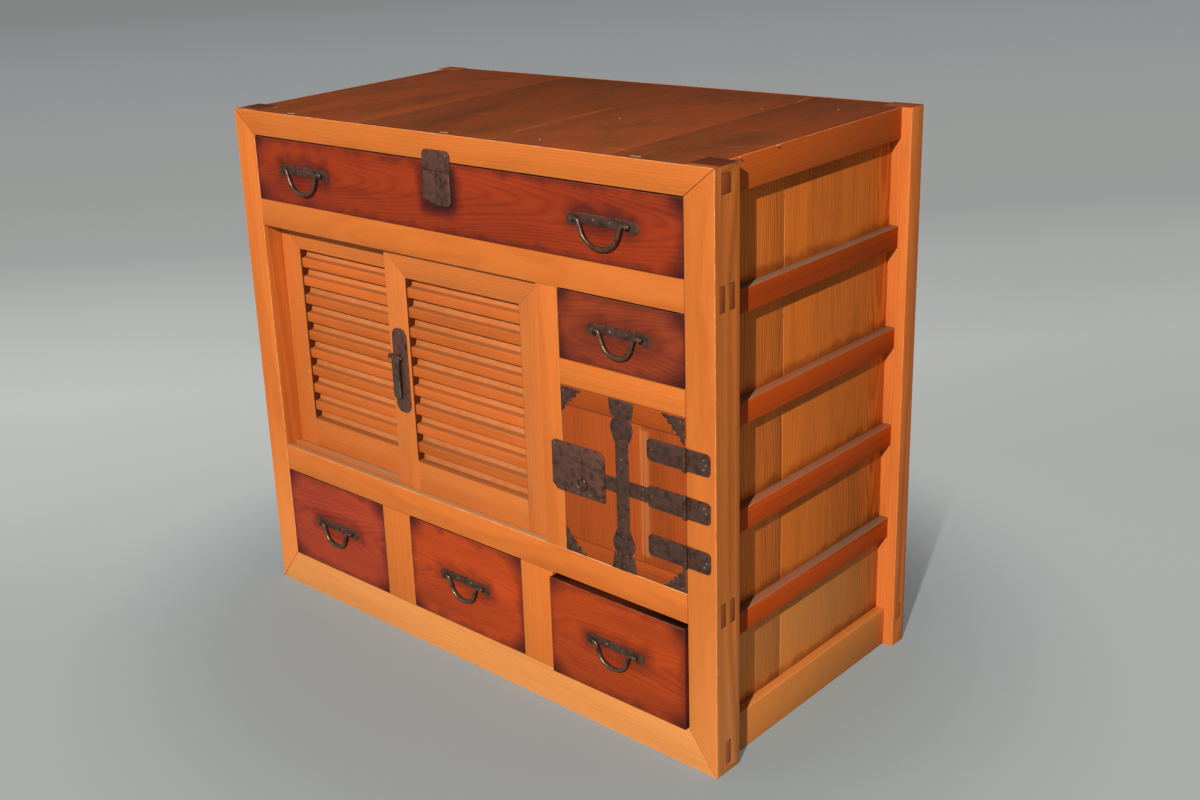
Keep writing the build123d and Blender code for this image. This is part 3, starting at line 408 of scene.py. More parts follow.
    def scratch_mask(
        self, tree: bpy.types.NodeTree, own: bpy.types.NodeSocket, scratch: Scratch, broken: bpy.types.Node
    ) -> bpy.types.Node:
        """Draws one scratch that fades out at its ends.

        Args:
            tree: the material's node tree.
            own: Object coordinates.
            scratch: where it runs.
            broken: how much of it is left, from place to place.

        Returns:
            0 beside the scratch to its full depth on it.
        """
        start, end = Vector((*scratch.start, 0.0)), Vector((*scratch.end, 0.0))
        way = (end - start).normalized()
        near = add(tree, "VectorMath", {0: own, 1: (start + end) / 2}, operation="SUBTRACT")
        mask = add(tree, "Math", {0: broken, 1: scratch.depth}, operation="MULTIPLY")
        lengthwise = (way, (end - start).length / 2, scratch.end_fade)
        crosswise = (Vector((way.y, -way.x, 0.0)), scratch.half_w, scratch.side_fade)
        for axis, half, fade in (lengthwise, crosswise):
            along = add(tree, "VectorMath", {0: near, 1: axis}, operation="DOT_PRODUCT")
            off = add(tree, "Math", {0: along}, operation="ABSOLUTE")
            within = add(tree, "MapRange", {0: off, 1: half - fade, 2: half + fade, 3: 1.0, 4: 0.0})
            mask = add(tree, "Math", {0: mask, 1: within}, operation="MULTIPLY")
        return mask

    @cache
    def material(self) -> bpy.types.Material:
        """Builds the finish, once.

        Returns:
            A material that reads the piece's own grain, tone, edge and end attributes.
        """
        made = blank(self.name)
        tree = made.node_tree
        own = add(tree, "TexCoord").outputs["Object"]
        place = add(tree, "Attribute", attribute_name="grain").outputs["Vector"]
        tone, edge, end = (
            add(tree, "Attribute", attribute_name=name).outputs["Fac"] for name in ("tone", "edge", "end")
        )
        fine, broad = (
            add(tree, "VectorMath", {0: place, 1: scale}, operation="MULTIPLY")
            for scale in (FIBRES, self.patch_scale)
        )
        noises = (
            (fine, 1.0, 4.0, 0.65), (broad, 1.0, 5.0, 0.6), (own, FRAYS, 4.0, 0.5), (own, RUBS, 4.0, 0.5),
        )
        fibre, patch, frayed, rubbed = (
            add(tree, "TexNoise", {"Vector": where, "Scale": scale, "Detail": detail, "Roughness": rough})
            for where, scale, detail, rough in noises
        )
        spots = add(tree, "TexVoronoi", {"Vector": own, "Scale": PIN_HOLES})
        smoothest, roughest = (self.roughness + change for change in self.roughness_spread)
        # From a texture's first number to its second, its mask runs from the third to the fourth.
        spans = {
            "bold": (patch, 0.3, 0.7, self.ring_depth * self.faint_rings, self.ring_depth),
            "streak": (fibre, 0.38, 0.72, 0.0, self.fibre_depth),
            "dirt": (patch, 0.46, 0.78, 0.0, self.patch_depth),
            "hole": (spots, 0.012, 0.03, self.hole_depth, 0.0),
            "ragged": (frayed, 0.25, 0.75, *self.fray),
            "rub": (rubbed, 0.35, 0.65, self.least_rub, self.edge_depth),
            "gloss": (fibre, 0.3, 0.7, smoothest, roughest),
        }
        mask = {name: add(tree, "MapRange", dict(enumerate(span))) for name, span in spans.items()}

        rings = self.rings(tree, place)
        ringed = add(tree, "Math", {0: rings, 1: mask["bold"]}, operation="MULTIPLY")
        colour = linear(self.early)
        for amount, code in ((ringed, self.late), (mask["streak"], self.late), (mask["dirt"], self.deep)):
            colour = add(tree, "Mix", {0: amount, 6: colour, 7: linear(code)}, data_type="RGBA")
        level = add(tree, "Math", {0: tone, 1: self.tone_depth, 2: 1.0}, operation="MULTIPLY_ADD")
        colour = add(tree, "VectorMath", {0: colour, 3: level}, operation="SCALE")

        coats = [(mask["hole"], self.deep)]
        if self.sapwood is not None:
            sides = add(tree, "SeparateXYZ", {0: self.inside(tree, own, self.sapwood)})
            inward = add(tree, "Math", {0: sides.outputs[0], 1: sides.outputs[2]}, operation="MINIMUM")
            outside, full = self.sapwood_fade
            limits = {0: inward, 1: outside, 2: full, 3: 0.0, 4: self.sapwood_depth}
            coats.append((add(tree, "MapRange", limits), self.worn))
        coats.append((add(tree, "Math", {0: end, 1: self.end_depth}, operation="MULTIPLY"), self.deep))
        if self.bleach:
            coats.append((self.stain_mask(tree, own, mask["ragged"], self.bleach), self.bleached))
        if self.stains:
            coats.append((self.stain_mask(tree, own, mask["ragged"], self.stains, self.panel), self.deep))
        # dust on faces that look up; on the drawer fronts this coat is painted shadow, near black
        if self.dust_and_shadow_depth:
            upward = add(tree, "SeparateXYZ", {0: add(tree, "NewGeometry").outputs["Normal"]})
            steep, flat = self.dust_and_shadow_slope
            limits = {0: upward.outputs[2], 1: steep, 2: flat, 3: 0.0, 4: self.dust_and_shadow_depth}
            lying = add(tree, "MapRange", limits)
            thin = add(tree, "MapRange", {0: patch, 1: 0.35, 2: 0.6, 3: 0.6, 4: 1.0})
            coats.append((add(tree, "Math", {0: lying, 1: thin}, operation="MULTIPLY"), self.dust_and_shadow))
        rim = add(tree, "Math", {0: edge, 1: mask["rub"]}, operation="MULTIPLY", use_clamp=True)
        coats.append((rim, self.worn))
        if self.scratches:
            broken = add(tree, "MapRange", {0: rubbed, 1: 0.4, 2: 0.55, 3: 0.25, 4: 1.0})
            for scratch in self.scratches:
                coats.append((self.scratch_mask(tree, own, scratch, broken), self.worn))
        seam = add(tree, "Math", {0: edge, 1: -self.seam_depth}, operation="MULTIPLY", use_clamp=True)
        coats.append((seam, self.deep))
        for amount, code in coats:
            colour = add(tree, "Mix", {0: amount, 6: colour, 7: linear(code)}, data_type="RGBA")

        height = add(tree, "Math", {0: rings, 1: self.ring_relief, 2: fibre}, operation="MULTIPLY_ADD")
        bump = add(tree, "Bump", {"Strength": self.relief, "Distance": self.relief_h, "Height": height})
        look = {"Base Color": colour, "Roughness": mask["gloss"], "Normal": bump}
        look["Specular IOR Level"] = self.specular
        add(tree, "OutputMaterial", {0: add(tree, "BsdfPrincipled", look)})
        return made


@dataclass(frozen=True)
class IronFinish:
    """Wrought iron, blackened over a fire and waxed: dull brown-black, pitted, rubbed bright on edges.

    Pits colour it by the share `pit_share` of what the hammer marks do, and the marks are `blow_relief`
    times as deep as the pits.
    """

    name: str
    dark: str = "#2C1C18"
    brown: str = "#5C3C31"
    rust: str = "#7A4428"
    rust_depth: float = 0.55
    bright: str = "#C2B2A4"
    bright_depth: float = 0.7
    pit_share: float = 0.6
    metallic: float = 0.35
    roughness: float = 0.48
    roughness_spread: tuple[float, float] = (-0.12, 0.16)
    relief: float = 0.45
    relief_h: float = 0.35 * MM
    blow_relief: float = 3.0

    @cache
    def material(self) -> bpy.types.Material:
        """Builds the finish, once.

        Returns:
            A material on Object coordinates that reads the piece's own edge attribute.
        """
        made = blank(self.name)
        tree = made.node_tree
        own = add(tree, "TexCoord").outputs["Object"]
        edge = add(tree, "Attribute", attribute_name="edge").outputs["Fac"]
        blows, pits, blooms = (
            add(tree, "TexNoise", {"Vector": own, "Scale": scale, "Detail": detail, "Roughness": rough})
            for scale, detail, rough in ((BLOWS, 3.0, 0.5), (PITS, 3.0, 0.7), (RUST_BLOOMS, 6.0, 0.7))
        )
        smoothest, roughest = (self.roughness + change for change in self.roughness_spread)
        # From a texture's first number to its second, its mask runs from the third to the fourth.
        spans = (
            (blooms, 0.56, 0.74, 0.0, self.rust_depth),
            (blows, 0.42, 0.62, 0.0, self.bright_depth),
            (pits, 0.3, 0.7, smoothest, roughest),
        )
        rusty, rub, gloss = (add(tree, "MapRange", dict(enumerate(span))) for span in spans)
        mottle = add(tree, "Math", {0: pits, 1: self.pit_share, 2: blows}, operation="MULTIPLY_ADD")
        stops = ((0.55, linear(self.dark)), (0.85, linear(self.brown)))
        colour = add(tree, "ValToRGB", {0: mottle}, stops=stops)
        rim = add(tree, "Math", {0: edge, 1: rub}, operation="MULTIPLY", use_clamp=True)
        for amount, code in ((rusty, self.rust), (rim, self.bright)):
            colour = add(tree, "Mix", {0: amount, 6: colour, 7: linear(code)}, data_type="RGBA")
        height = add(tree, "Math", {0: blows, 1: self.blow_relief, 2: pits}, operation="MULTIPLY_ADD")
        bump = add(tree, "Bump", {"Strength": self.relief, "Distance": self.relief_h, "Height": height})
        look = {"Base Color": colour, "Metallic": self.metallic, "Roughness": gloss, "Normal": bump}
        add(tree, "OutputMaterial", {0: add(tree, "BsdfPrincipled", look)})
        return made


Finish = WoodFinish | IronFinish

# ---- The cabinet's finishes, and what each gives the eye ---------------------------------------
# Hinoki planed and wiped with an oil stain: an even warm orange, soft rings, pale rubbed arrises.
FRAME = WoodFinish(
    "oiled_hinoki_frame", early="#D67833", late="#BD5E24", deep="#6E2E10", worn="#F4B47A",
    ring=4.2 * MM, ring_depth=0.45, patch_depth=0.2, tone_depth=0.05, specular=0.15, edge_depth=0.8,
)
# The same wood with a lip where dust settles: a dull tan film along its top.
SILL = replace(FRAME, name="dusty_hinoki_sill", dust_and_shadow="#B4946C", dust_and_shadow_depth=0.9, dust_and_shadow_slope=(0.8, 0.95))
# The same wood where no hand polishes it: a shade lighter, and flat.
BACK_POST = replace(FRAME, name="oiled_hinoki_back_post", early="#DE7E3C", late="#C46222", specular=0.1)
# The same wood at the front corners, washed with the floor for years: it pales towards the feet.
POST = replace(
    FRAME, name="oiled_hinoki_post", bleach=(Stain(0.0, 0.0, ALL_ROUND, 0.02, reach=0.32, depth=0.45),)
)
# Hinoki that feet and brooms have rubbed nearly bare: straw orange.
BOTTOM_RAIL = WoodFinish(
    "rubbed_hinoki_rail", early="#DE9450", late="#CA7838", deep="#8A4A20", worn="#F8C890",
    ring=4.2 * MM, fibre_depth=0.35, patch_depth=0.2, tone_depth=0.05,
)
# Hinoki under a reddish stain, rubbed by nothing: matt orange, smoky at the top and pale at the foot.
SIDE_RAIL = WoodFinish(
    "stained_side_rails", early="#E47C30", late="#C45C1C", deep="#A03006", worn="#E8A468",
    ring=4.2 * MM, ring_depth=0.45, tone_depth=0.05, specular=0.08,
    stains=(Stain(0.0, 0.75, ALL_ROUND, 0.06, reach=8 * MM, depth=0.5, ragged=0.0),),
    bleach=(Stain(0.0, 0.04, ALL_ROUND, 0.06, reach=0.03, depth=0.5),), bleached="#D89750",
)
# Thin sugi slats, stained before they were let in: red-brown, dusty where they lie flat, bare upstands.
SLAT = WoodFinish(
    "sugi_louvre_slat", early="#CC6A2B", late="#AA501F", deep="#5A2410", worn="#BE8250",
    ring=2.4 * MM, ring_depth=0.45, dust_and_shadow="#A06238", dust_and_shadow_depth=0.9, dust_and_shadow_slope=(0.6, 0.9),
    edge_depth=0.35, specular=0.15,
)
# Wide sugi boards: bright orange early wood between bold brown late-wood lines.
BACK_BOARD = WoodFinish(
    "stained_sugi_back", early="#E47C2C", late="#9A4818", deep="#5E240C", worn="#E0A066",
    ring=2.4 * MM, ring_depth=0.8, fibre_depth=0.4, specular=0.12,
)
# The same boards behind the battens: a line of grime over the rail and each batten, pale by the floor.
LEDGES = (57, 200, 341, 482, 623)  # heights in mm at which dirt gathers on the side boards
SIDE_BOARD = replace(
    BACK_BOARD, name="stained_sugi_board", bleached="#E8BB6D",
    stains=tuple(Stain(0.0, z * MM, ALL_ROUND, 1 * MM, reach=16 * MM, depth=0.5) for z in LEDGES),
    bleach=(Stain(0.0, 0.06, ALL_ROUND, 0.06, reach=0.12, depth=0.25),),
)
# Sloped battens: strong orange on the face, and grey-brown dust on the slope above.
BATTEN = WoodFinish(
    "stained_batten", early="#C65014", late="#A43C0A", deep="#5A1F0C", worn="#D9884A",
    ring=3.4 * MM, dust_and_shadow="#896E56", dust_and_shadow_depth=1.0, edge_depth=0.3, specular=0.08,
)
# Sugi left as the plane leaves it, inside and on the drawer boxes: dry, pale and matt.
BARE_SUGI = WoodFinish(
    "bare_sugi", early="#C79A6B", late="#9A6A40", deep="#6B4428", worn="#D9B68C",
    ring=3.0 * MM, ring_depth=0.6, roughness=0.65,
)
# Split pegs and pins of pale wood, cut flush: light dots that never took the stain.
PEG = WoodFinish("pale_peg", early="#F2D2A8", late="#D9A26A", deep="#9A5E34", worn="#FBE6C8", ring_depth=0.3)
# Boards of the top, smoked by the hearth: dark red-brown in clouds, with a tan bloom of dust.
TOP_BOARD = WoodFinish(
    "smoked_sugi_top", early="#9C4520", late="#732B13", deep="#3A150B", worn="#D09A5C",
    ring=3.4 * MM, ring_depth=0.6, patch_depth=0.75, patch_scale=(18.0, 18.0, 8.0), dust_and_shadow="#96643C",
    dust_and_shadow_depth=0.3, edge_depth=0.2, roughness=0.75, specular=0.06,
)
# Red-brown lacquer over flat-sawn wood: rings glow through it, and grime darkens its rim, corners and seams.
DRAWER_FRONT = WoodFinish(
    "lacquered_front", early="#BC4A1C", late="#96331A", deep="#32151A", worn="#C87A4C",
    ring=2.6 * MM, ring_depth=0.7, patch_depth=0.4, roughness=0.5, specular=0.1,
    # painted shadow: the faces that look up are coated near black, for the shade under the rail above
    dust_and_shadow="#160B08", dust_and_shadow_depth=1.0, edge_depth=0.4,
)
# Fine-ringed hinoki round the louvres: clear orange with dust on its ledges.
SLIDING_FRAME = WoodFinish(
    "oiled_right_door", early="#D47A3A", late="#B85C24", deep="#4A1E10", worn="#F2B074",
    ring=2.8 * MM, patch_depth=0.15, tone_depth=0.2, edge_depth=0.3, specular=0.15,
    dust_and_shadow="#A06238", dust_and_shadow_depth=0.9, dust_and_shadow_slope=(0.8, 0.95),
)
# Keyaki boards between their clamps: brown-red with lively rings, and one strip of pale sapwood.
HINGED_BOARD = WoodFinish(
    "stained_keyaki_door", early="#AC501E", late="#8A3814", deep="#4A1B0D", worn="#D0844C",
    ring=2.8 * MM, ring_depth=0.6, patch_depth=0.4, specular=0.12, edge_depth=0.35,
)
# Plates of wrought iron: brown-black with little shine, and the hammer's marks.
IRON = IronFinish("blackened_iron", brown="#563B30")
# The lock's and latch's plates, rusted and waxed over: browner.
LOCK_IRON = IronFinish("russet_iron", dark="#32201B", brown="#68453A")
# Bails, bar and ring that hands polish: greyer, with bright glints along the bend.
HANDLED_IRON = IronFinish(
    "handled_iron", dark="#3C2C27", brown="#77604F", bright="#D8CCC0", metallic=0.75, roughness=0.34
)


# ---- Bench work shared by every piece ----------------------------------------------------------
def merged_copy(node: str) -> bmesh.types.BMesh:
    """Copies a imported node, with the triangles of each solid merged back into plain faces.

    Two timbers that meet in a joint stay apart: their corners coincide, so each solid is merged alone.

    Args:
        node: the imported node's name.

    Returns:
        Closed solids in the row frame.
    """
    bm = bmesh.new()
    bm.from_mesh(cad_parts[node].data)
    for layers in (bm.loops.layers, bm.verts.layers, bm.faces.layers, bm.edges.layers):
        for kind in (layers.float, layers.float_vector, layers.int):
            for layer in list(kind.values()):
                kind.remove(layer)
    shell: list[bmesh.types.BMVert] = []
    shells = []
    open_sides: set[tuple[tuple[float, ...], tuple[float, ...]]] = set()
    for face in bm.faces:
        corners = [tuple(round(c, 7) for c in v.co) for v in face.verts]
        shell.extend(face.verts)
        for side in zip(corners, corners[1:] + corners[:1]):
            if side[::-1] in open_sides:
                open_sides.remove(side[::-1])
            else:
                open_sides.add(side)
        if not open_sides:
            shells.append(list(dict.fromkeys(shell)))
            shell = []
    if shell:
        log.info("%s: %d corners of an open shell", node, len(shell))
        shells.append(list(dict.fromkeys(shell)))
    for verts in shells:
        bmesh.ops.remove_doubles(bm, verts=verts, dist=WELD)
    bmesh.ops.dissolve_limit(
        bm, angle_limit=LEVEL, use_dissolve_boundaries=False, verts=bm.verts, edges=bm.edges, delimit=set()
    )
    bm.normal_update()
    return bm


def solids_of(bm: bmesh.types.BMesh) -> list[list[bmesh.types.BMVert]]:
    """Lists the separate solids of a mesh.

    Args:
        bm: the mesh.

    Returns:
        The vertices of each solid.
    """
    left = set(bm.verts)
    groups = []
    for start in bm.verts:
        if start not in left:
            continue
        group, reach = [], [start]
        left.discard(start)
        while reach:
            vert = reach.pop()
            group.append(vert)
            for link in vert.link_edges:
                other = link.other_vert(vert)
                if other in left:
                    left.discard(other)
                    reach.append(other)
        groups.append(group)
    return groups


@cache
def packed_surface() -> BVHTree:
    """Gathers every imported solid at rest, once.

    Returns:
        Their surface, to find what lies close to a point.
    """
    bm = bmesh.new()
    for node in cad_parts.values():
        bm.from_mesh(node.data)
    surface = BVHTree.FromBMesh(bm)
    bm.free()
    return surface


def wear_along(sharp: Sequence[bmesh.types.BMEdge]) -> tuple[BVHTree, list[Wear]]:
    """Judges how hands and cloths reach each arris.

    Args:
        sharp: the arrises.

    Returns:
        A thin sliver of surface along each arris, and its wear: a seam where another piece is fitted
        against it, free where it stands clear, and sheltered where something lies beside it.
    """
    corners: list[Vector] = []
    slivers, wear = [], []
    surface = packed_surface()
    for edge in sharp:
        start, end = (vert.co.copy() for vert in edge.verts)
        out = (edge.link_faces[0].normal + edge.link_faces[1].normal).normalized()
        middle = start.lerp(end, 0.5)
        close = 0
        for share in (0.25, 0.5, 0.75):
            gap = surface.find_nearest(start.lerp(end, share) + out * SEAM_REACH)[3]
            close += gap < SEAM_SHARE * SEAM_REACH
        free = surface.find_nearest(middle + out * HAND_REACH)[3] > HAND_SHARE * HAND_REACH
        wear.append(Wear.SEAM if close >= 2 else Wear.FREE if free else Wear.SHELTERED)
        slivers.append((len(corners), len(corners) + 1, len(corners) + 2))
        corners += [start, end, middle + out * SLIVER]
    return BVHTree.FromPolygons(corners, slivers), wear


def ease_arrises(bm: bmesh.types.BMesh, width: float) -> None:
    """Rounds every sharp edge and marks the new faces with the wear of the arris.

    Args:
        bm: the mesh.
        width: how much of each face goes.
    """
    layer = bm.faces.layers.float.new("edge")
    sharp = [e for e in bm.edges if len(e.link_faces) == 2 and e.calc_face_angle(0.0) > SHARP]
    arrises, wear = wear_along(sharp)
    eased = bmesh.ops.bevel(
        bm, geom=sharp, offset=width, offset_type="OFFSET", affect="EDGES", segments=2, profile=0.5,
        material=-1, clamp_overlap=True,
    )
    for face in eased["faces"]:
        face[layer] = wear[arrises.find_nearest(face.calc_center_median())[2]].value


def lay_grain(
    bm: bmesh.types.BMesh,
    sawing: Sawing,
    along: Along,
    seed: str,
    tones: Sequence[float] = (),
    end_tone: float = 1.0,
) -> None:
    """Gives each board its own place in the log, and marks its end grain.

    Args:
        bm: the mesh.
        sawing: how the boards were sawn.
        along: the axis of the grain.
        seed: a word that makes the choice repeatable.
        tones: how light each board is, where it is given; otherwise it lies between -1 and 1.
        end_tone: how dark the end grain is.
    """
    dice = random.Random(seed)
    grain = bm.verts.layers.float_vector.new("grain")
    tone = bm.verts.layers.float.new("tone")
    end = bm.faces.layers.float.new("end")
    edge = bm.faces.layers.float.get("edge")
    for number, group in enumerate(solids_of(bm)):
        low = Vector([min(v.co[i] for v in group) for i in range(3)])
        high = Vector([max(v.co[i] for v in group) for i in range(3)])
        size, middle = high - low, (low + high) / 2
        order = sorted(range(3), key=lambda i: size[i])
        length = order[2] if along is Along.LONGEST else along.value
        across, thick = [i for i in reversed(order) if i != length]
        pith_across, pith_behind, climb = sawing.value
        pith_across *= dice.uniform(*PITH_ACROSS_SPREAD) * dice.choice((-1, 1))
        pith_behind *= dice.uniform(*PITH_BEHIND_SPREAD)
        climb *= dice.uniform(*CLIMB_SPREAD) * dice.choice((-1, 1))
        start = dice.uniform(*LOG_PLACES)
        light = tones[number % len(tones)] if tones else dice.uniform(-1.0, 1.0)
        for vert in group:
            out = vert.co - middle
            behind = out[thick] + pith_behind + climb * out[length]
            vert[grain] = (out[across] + pith_across, behind, out[length] + start)
            vert[tone] = light
        for face in {f for v in group for f in v.link_faces}:
            reach = face.calc_center_median()[length]
            tip = min(reach - low[length], high[length] - reach) < TIP
            face[end] = end_tone if tip or abs(face.normal[length]) > END_FACING else 0.0
            if tip and face[edge] > 0.0:
                face[edge] *= TIP_WEAR


def present(
    bm: bmesh.types.BMesh,
    name: str,
    body: str,
    finish: Finish,
    nodes: Sequence[str] = (),
) -> bpy.types.Object:
    """Makes a finished piece of a mesh.

    Args:
        bm: the mesh; it is used up.
        name: the piece's name.
        body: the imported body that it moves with.
        finish: its finish.
        nodes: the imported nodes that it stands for.

    Returns:
        The new object.
    """
    mesh = bpy.data.meshes.new(name)
    bm.to_mesh(mesh)
    bm.free()
    mesh.materials.append(finish.material())
    for polygon in mesh.polygons:
        polygon.use_smooth = True
    mesh.set_sharp_from_angle(angle=SHARP)
    piece = bpy.data.objects.new(name, mesh)
    bpy.context.scene.collection.objects.link(piece)
    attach(piece, body)
    if nodes:
        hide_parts(*nodes)
    log.info("%s: %d faces, rides on %s", name, len(mesh.polygons), body)
    return piece


@dataclass(frozen=True)
class Timber:
    """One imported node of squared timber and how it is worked.

    Broad faces whose upward slope lies within `bare` were left without stain.
    """

    node: str
    body: str
    slot: str
    sawing: Sawing = Sawing.QUARTER
    along: Along = Along.LONGEST
    arris: float = 0.7 * MM
    tones: tuple[float, ...] = ()
    end: float = 1.0
    bare: tuple[float, float] | None = None

    def make(self, finish: WoodFinish) -> bpy.types.Object:
        """Copies the node, eases its arrises, lays its grain and presents it.

        Args:
            finish: the wood's finish.

        Returns:
            The finished piece.
        """
        bm = merged_copy(self.node)
        ease_arrises(bm, self.arris)
        if self.bare is not None:
            layer = bm.faces.layers.float.get("edge")
            for face in bm.faces:
                if self.bare[0] < face.normal.z < self.bare[1] and face.calc_area() > BARE_AREA:
                    face[layer] = Wear.BARE.value
        lay_grain(bm, self.sawing, self.along, self.node, self.tones, self.end)
        return present(bm, f"{self.node}_timber", self.body, finish, (self.node,))


def turned(
    bm: bmesh.types.BMesh, profile: Sequence[tuple[float, float]], place: Vector, out: Vector, steps: int = 14
) -> None:
    """Turns a profile round an axis.

    Args:
        bm: the mesh to add to.
        profile: radius and height of each point of the profile.
        place: the foot of the axis.
        out: the way the axis points.
        steps: facets round it.
    """
    older = set(bm.verts)
    verts = [bm.verts.new((radius, 0.0, height)) for radius, height in profile]
    edges = [bm.edges.new(pair) for pair in zip(verts, verts[1:])]
    bmesh.ops.spin(
        bm, geom=verts + edges, cent=(0, 0, 0), axis=UP, angle=math.tau, steps=steps, use_merge=True
    )
    made = [v for v in bm.verts if v not in older]
    bmesh.ops.remove_doubles(bm, verts=made, dist=WELD)
    made = [v for v in bm.verts if v not in older]
    turn = UP.rotation_difference(out).to_matrix().to_4x4()
    bmesh.ops.transform(bm, matrix=Matrix.Translation(place) @ turn, verts=made)
    bmesh.ops.recalc_face_normals(bm, faces=list({f for v in made for f in v.link_faces}))


def nail(bm: bmesh.types.BMesh, place: Vector, out: Vector, radius: float, height: float = 0.9 * MM) -> None:
    """Adds a hand-made nail's domed head.

    Args:
        bm: the mesh to add to, which has an edge layer.
        place: the middle of its foot.
        out: the way it faces.
        radius: of its foot.
        height: how far it stands out.
    """
    older = set(bm.faces)
    turned(bm, [(radius * r, height * h) for r, h in NAIL_HEAD], place, out)
    layer = bm.faces.layers.float.get("edge")
    for face in bm.faces:
        if face not in older:
            face[layer] = Wear.NAIL.value


def rounded(points: Sequence[Vector], radii: Sequence[float], steps: int = 8) -> list[Vector]:
    """Rounds the corners of a line.

    Args:
        points: its corners.
        radii: the bend at each inner corner.
        steps: points in each bend.

    Returns:
        The points of the rounded line.
    """
    line = [points[0]]
    for before, corner, after, radius in zip(points, points[1:], points[2:], radii):
        back, on = (before - corner).normalized(), (after - corner).normalized()
        bend = math.pi - back.angle(on)
        reach = radius * math.tan(bend / 2)
        centre = corner + (back + on).normalized() * math.hypot(reach, radius)
        arm = corner + back * reach - centre
        axis = arm.cross(on)
        line += [centre + Quaternion(axis, bend * i / steps) @ arm for i in range(steps + 1)]
    return line + [points[-1]]


def forged(bm: bmesh.types.BMesh, line: Sequence[Vector], radii: Sequence[float], segments: int = 14) -> None:
    """Draws a round bar out along a line.

    Args:
        bm: the mesh to add to.
        line: the middle of the bar.
        radii: its radius at each point.
        segments: facets round it.
    """
    heads = [(b - a).normalized() for a, b in zip(line, line[1:])]
    ways = [heads[0]] + [(a + b).normalized() for a, b in zip(heads, heads[1:])] + [heads[-1]]
    turn = UP.rotation_difference(ways[0]).to_matrix().to_4x4()
    first = bmesh.ops.create_circle(
        bm, cap_ends=True, segments=segments, radius=radii[0], matrix=Matrix.Translation(line[0]) @ turn
    )
    face = first["verts"][0].link_faces[0]
    for i in range(1, len(line)):
        grown = bmesh.ops.extrude_face_region(bm, geom=[face])["geom"]
        face = next(item for item in grown if isinstance(item, bmesh.types.BMFace))
        swing = ways[i - 1].rotation_difference(ways[i]).to_matrix().to_4x4()
        size = Matrix.Scale(radii[i] / radii[i - 1], 4)
        move = Matrix.Translation(line[i]) @ swing @ size @ Matrix.Translation(-line[i - 1])
        bmesh.ops.transform(bm, matrix=move, verts=list(face.verts))
    bmesh.ops.recalc_face_normals(bm, faces=bm.faces)


@dataclass(frozen=True)
class Ironwork:
    """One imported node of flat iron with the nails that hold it.

    Nails are X and Z in mm from the cabinet's front left foot; each sits on the iron that it meets.
    """

    node: str
    body: str
    arris: float = 0.4 * MM
    nails: Sequence[tuple[float, float]] = ()
    nail_r: float = 1.7 * MM

    def make(self, finish: IronFinish) -> bpy.types.Object:
        """Copies the node, rounds its edges, sets its nails and presents it.

        Args:
            finish: the iron's finish.

        Returns:
            The finished piece.
        """
        bm = merged_copy(self.node)
        ease_arrises(bm, self.arris)
        surface = BVHTree.FromBMesh(bm)
        for x, z in self.nails:
            spot = surface.ray_cast(at(x, BEFORE_ALL, z), -FORWARD)[0]
            if spot is None:
                log.warning("%s: no iron behind the nail at %.0f, %.0f", self.node, x, z)
            else:
                nail(bm, spot, FORWARD, self.nail_r)
        return present(bm, f"{self.node}_iron", self.body, finish, (self.node,))


# ---- The sub-assemblies ------------------------------------------------------------------------
@dataclass(frozen=True)
class Carcass:
    """The posts, rails, stiles and mullions that carry everything, and the boards hidden inside.

    Each timber of the frame comes with how dark its end grain is, and its finish.
    """

    body: str = "cabinet"
    framing: tuple[tuple[str, float, WoodFinish], ...] = (
        ("front_left_post", 2.5, POST),
        ("front_right_post", 2.5, POST),
        ("back_posts", 1.6, BACK_POST),
        ("front_top_rail", 1.6, FRAME),
        ("front_upper_rail", 1.6, FRAME),
        ("front_lower_rail", 1.6, SILL),
        ("bay_stile", 1.6, FRAME),
        ("bay_rail", 1.6, FRAME),
        ("drawer_mullions", 1.6, FRAME),
        ("side_rails", 1.0, SIDE_RAIL),
        ("front_bottom_rail", 2.0, BOTTOM_RAIL),
    )
    boards: tuple[str, ...] = (
        "upper_shelf", "lower_shelf", "bottom_board", "small_drawer_shelf", "partition_boards",
        "drawer_runners",
    )

    def build(self) -> None:
        """Makes every timber of the carcass."""
        for node, end, finish in self.framing:
            Timber(node, self.body, "frame_wood", end=end).make(finish)
        for node in self.boards:
            Timber(node, self.body, "inner_wood", sawing=Sawing.FLAT).make(BARE_SUGI)
        Timber("back_rails", self.body, "inner_wood", sawing=Sawing.FLAT).make(BACK_POST)
        Timber("back_boards", self.body, "panel_wood", sawing=Sawing.FLAT).make(BACK_BOARD)


@dataclass(frozen=True)
class Sides:
    """Upright boards behind four battens on each side; the front board of each side is the lighter."""

    body: str = "cabinet"
    arris: float = 0.9 * MM
    tones: tuple[float, ...] = (2.2, 0.0, 2.2, 0.0)

    def build(self) -> None:
        """Makes the boards and the battens of both sides."""
        boards = Timber("side_boards", self.body, "panel_wood", Sawing.RIFT, Along.Z, self.arris, self.tones)
        boards.make(SIDE_BOARD)
        Timber("side_battens", self.body, "batten_wood", sawing=Sawing.RIFT).make(BATTEN)


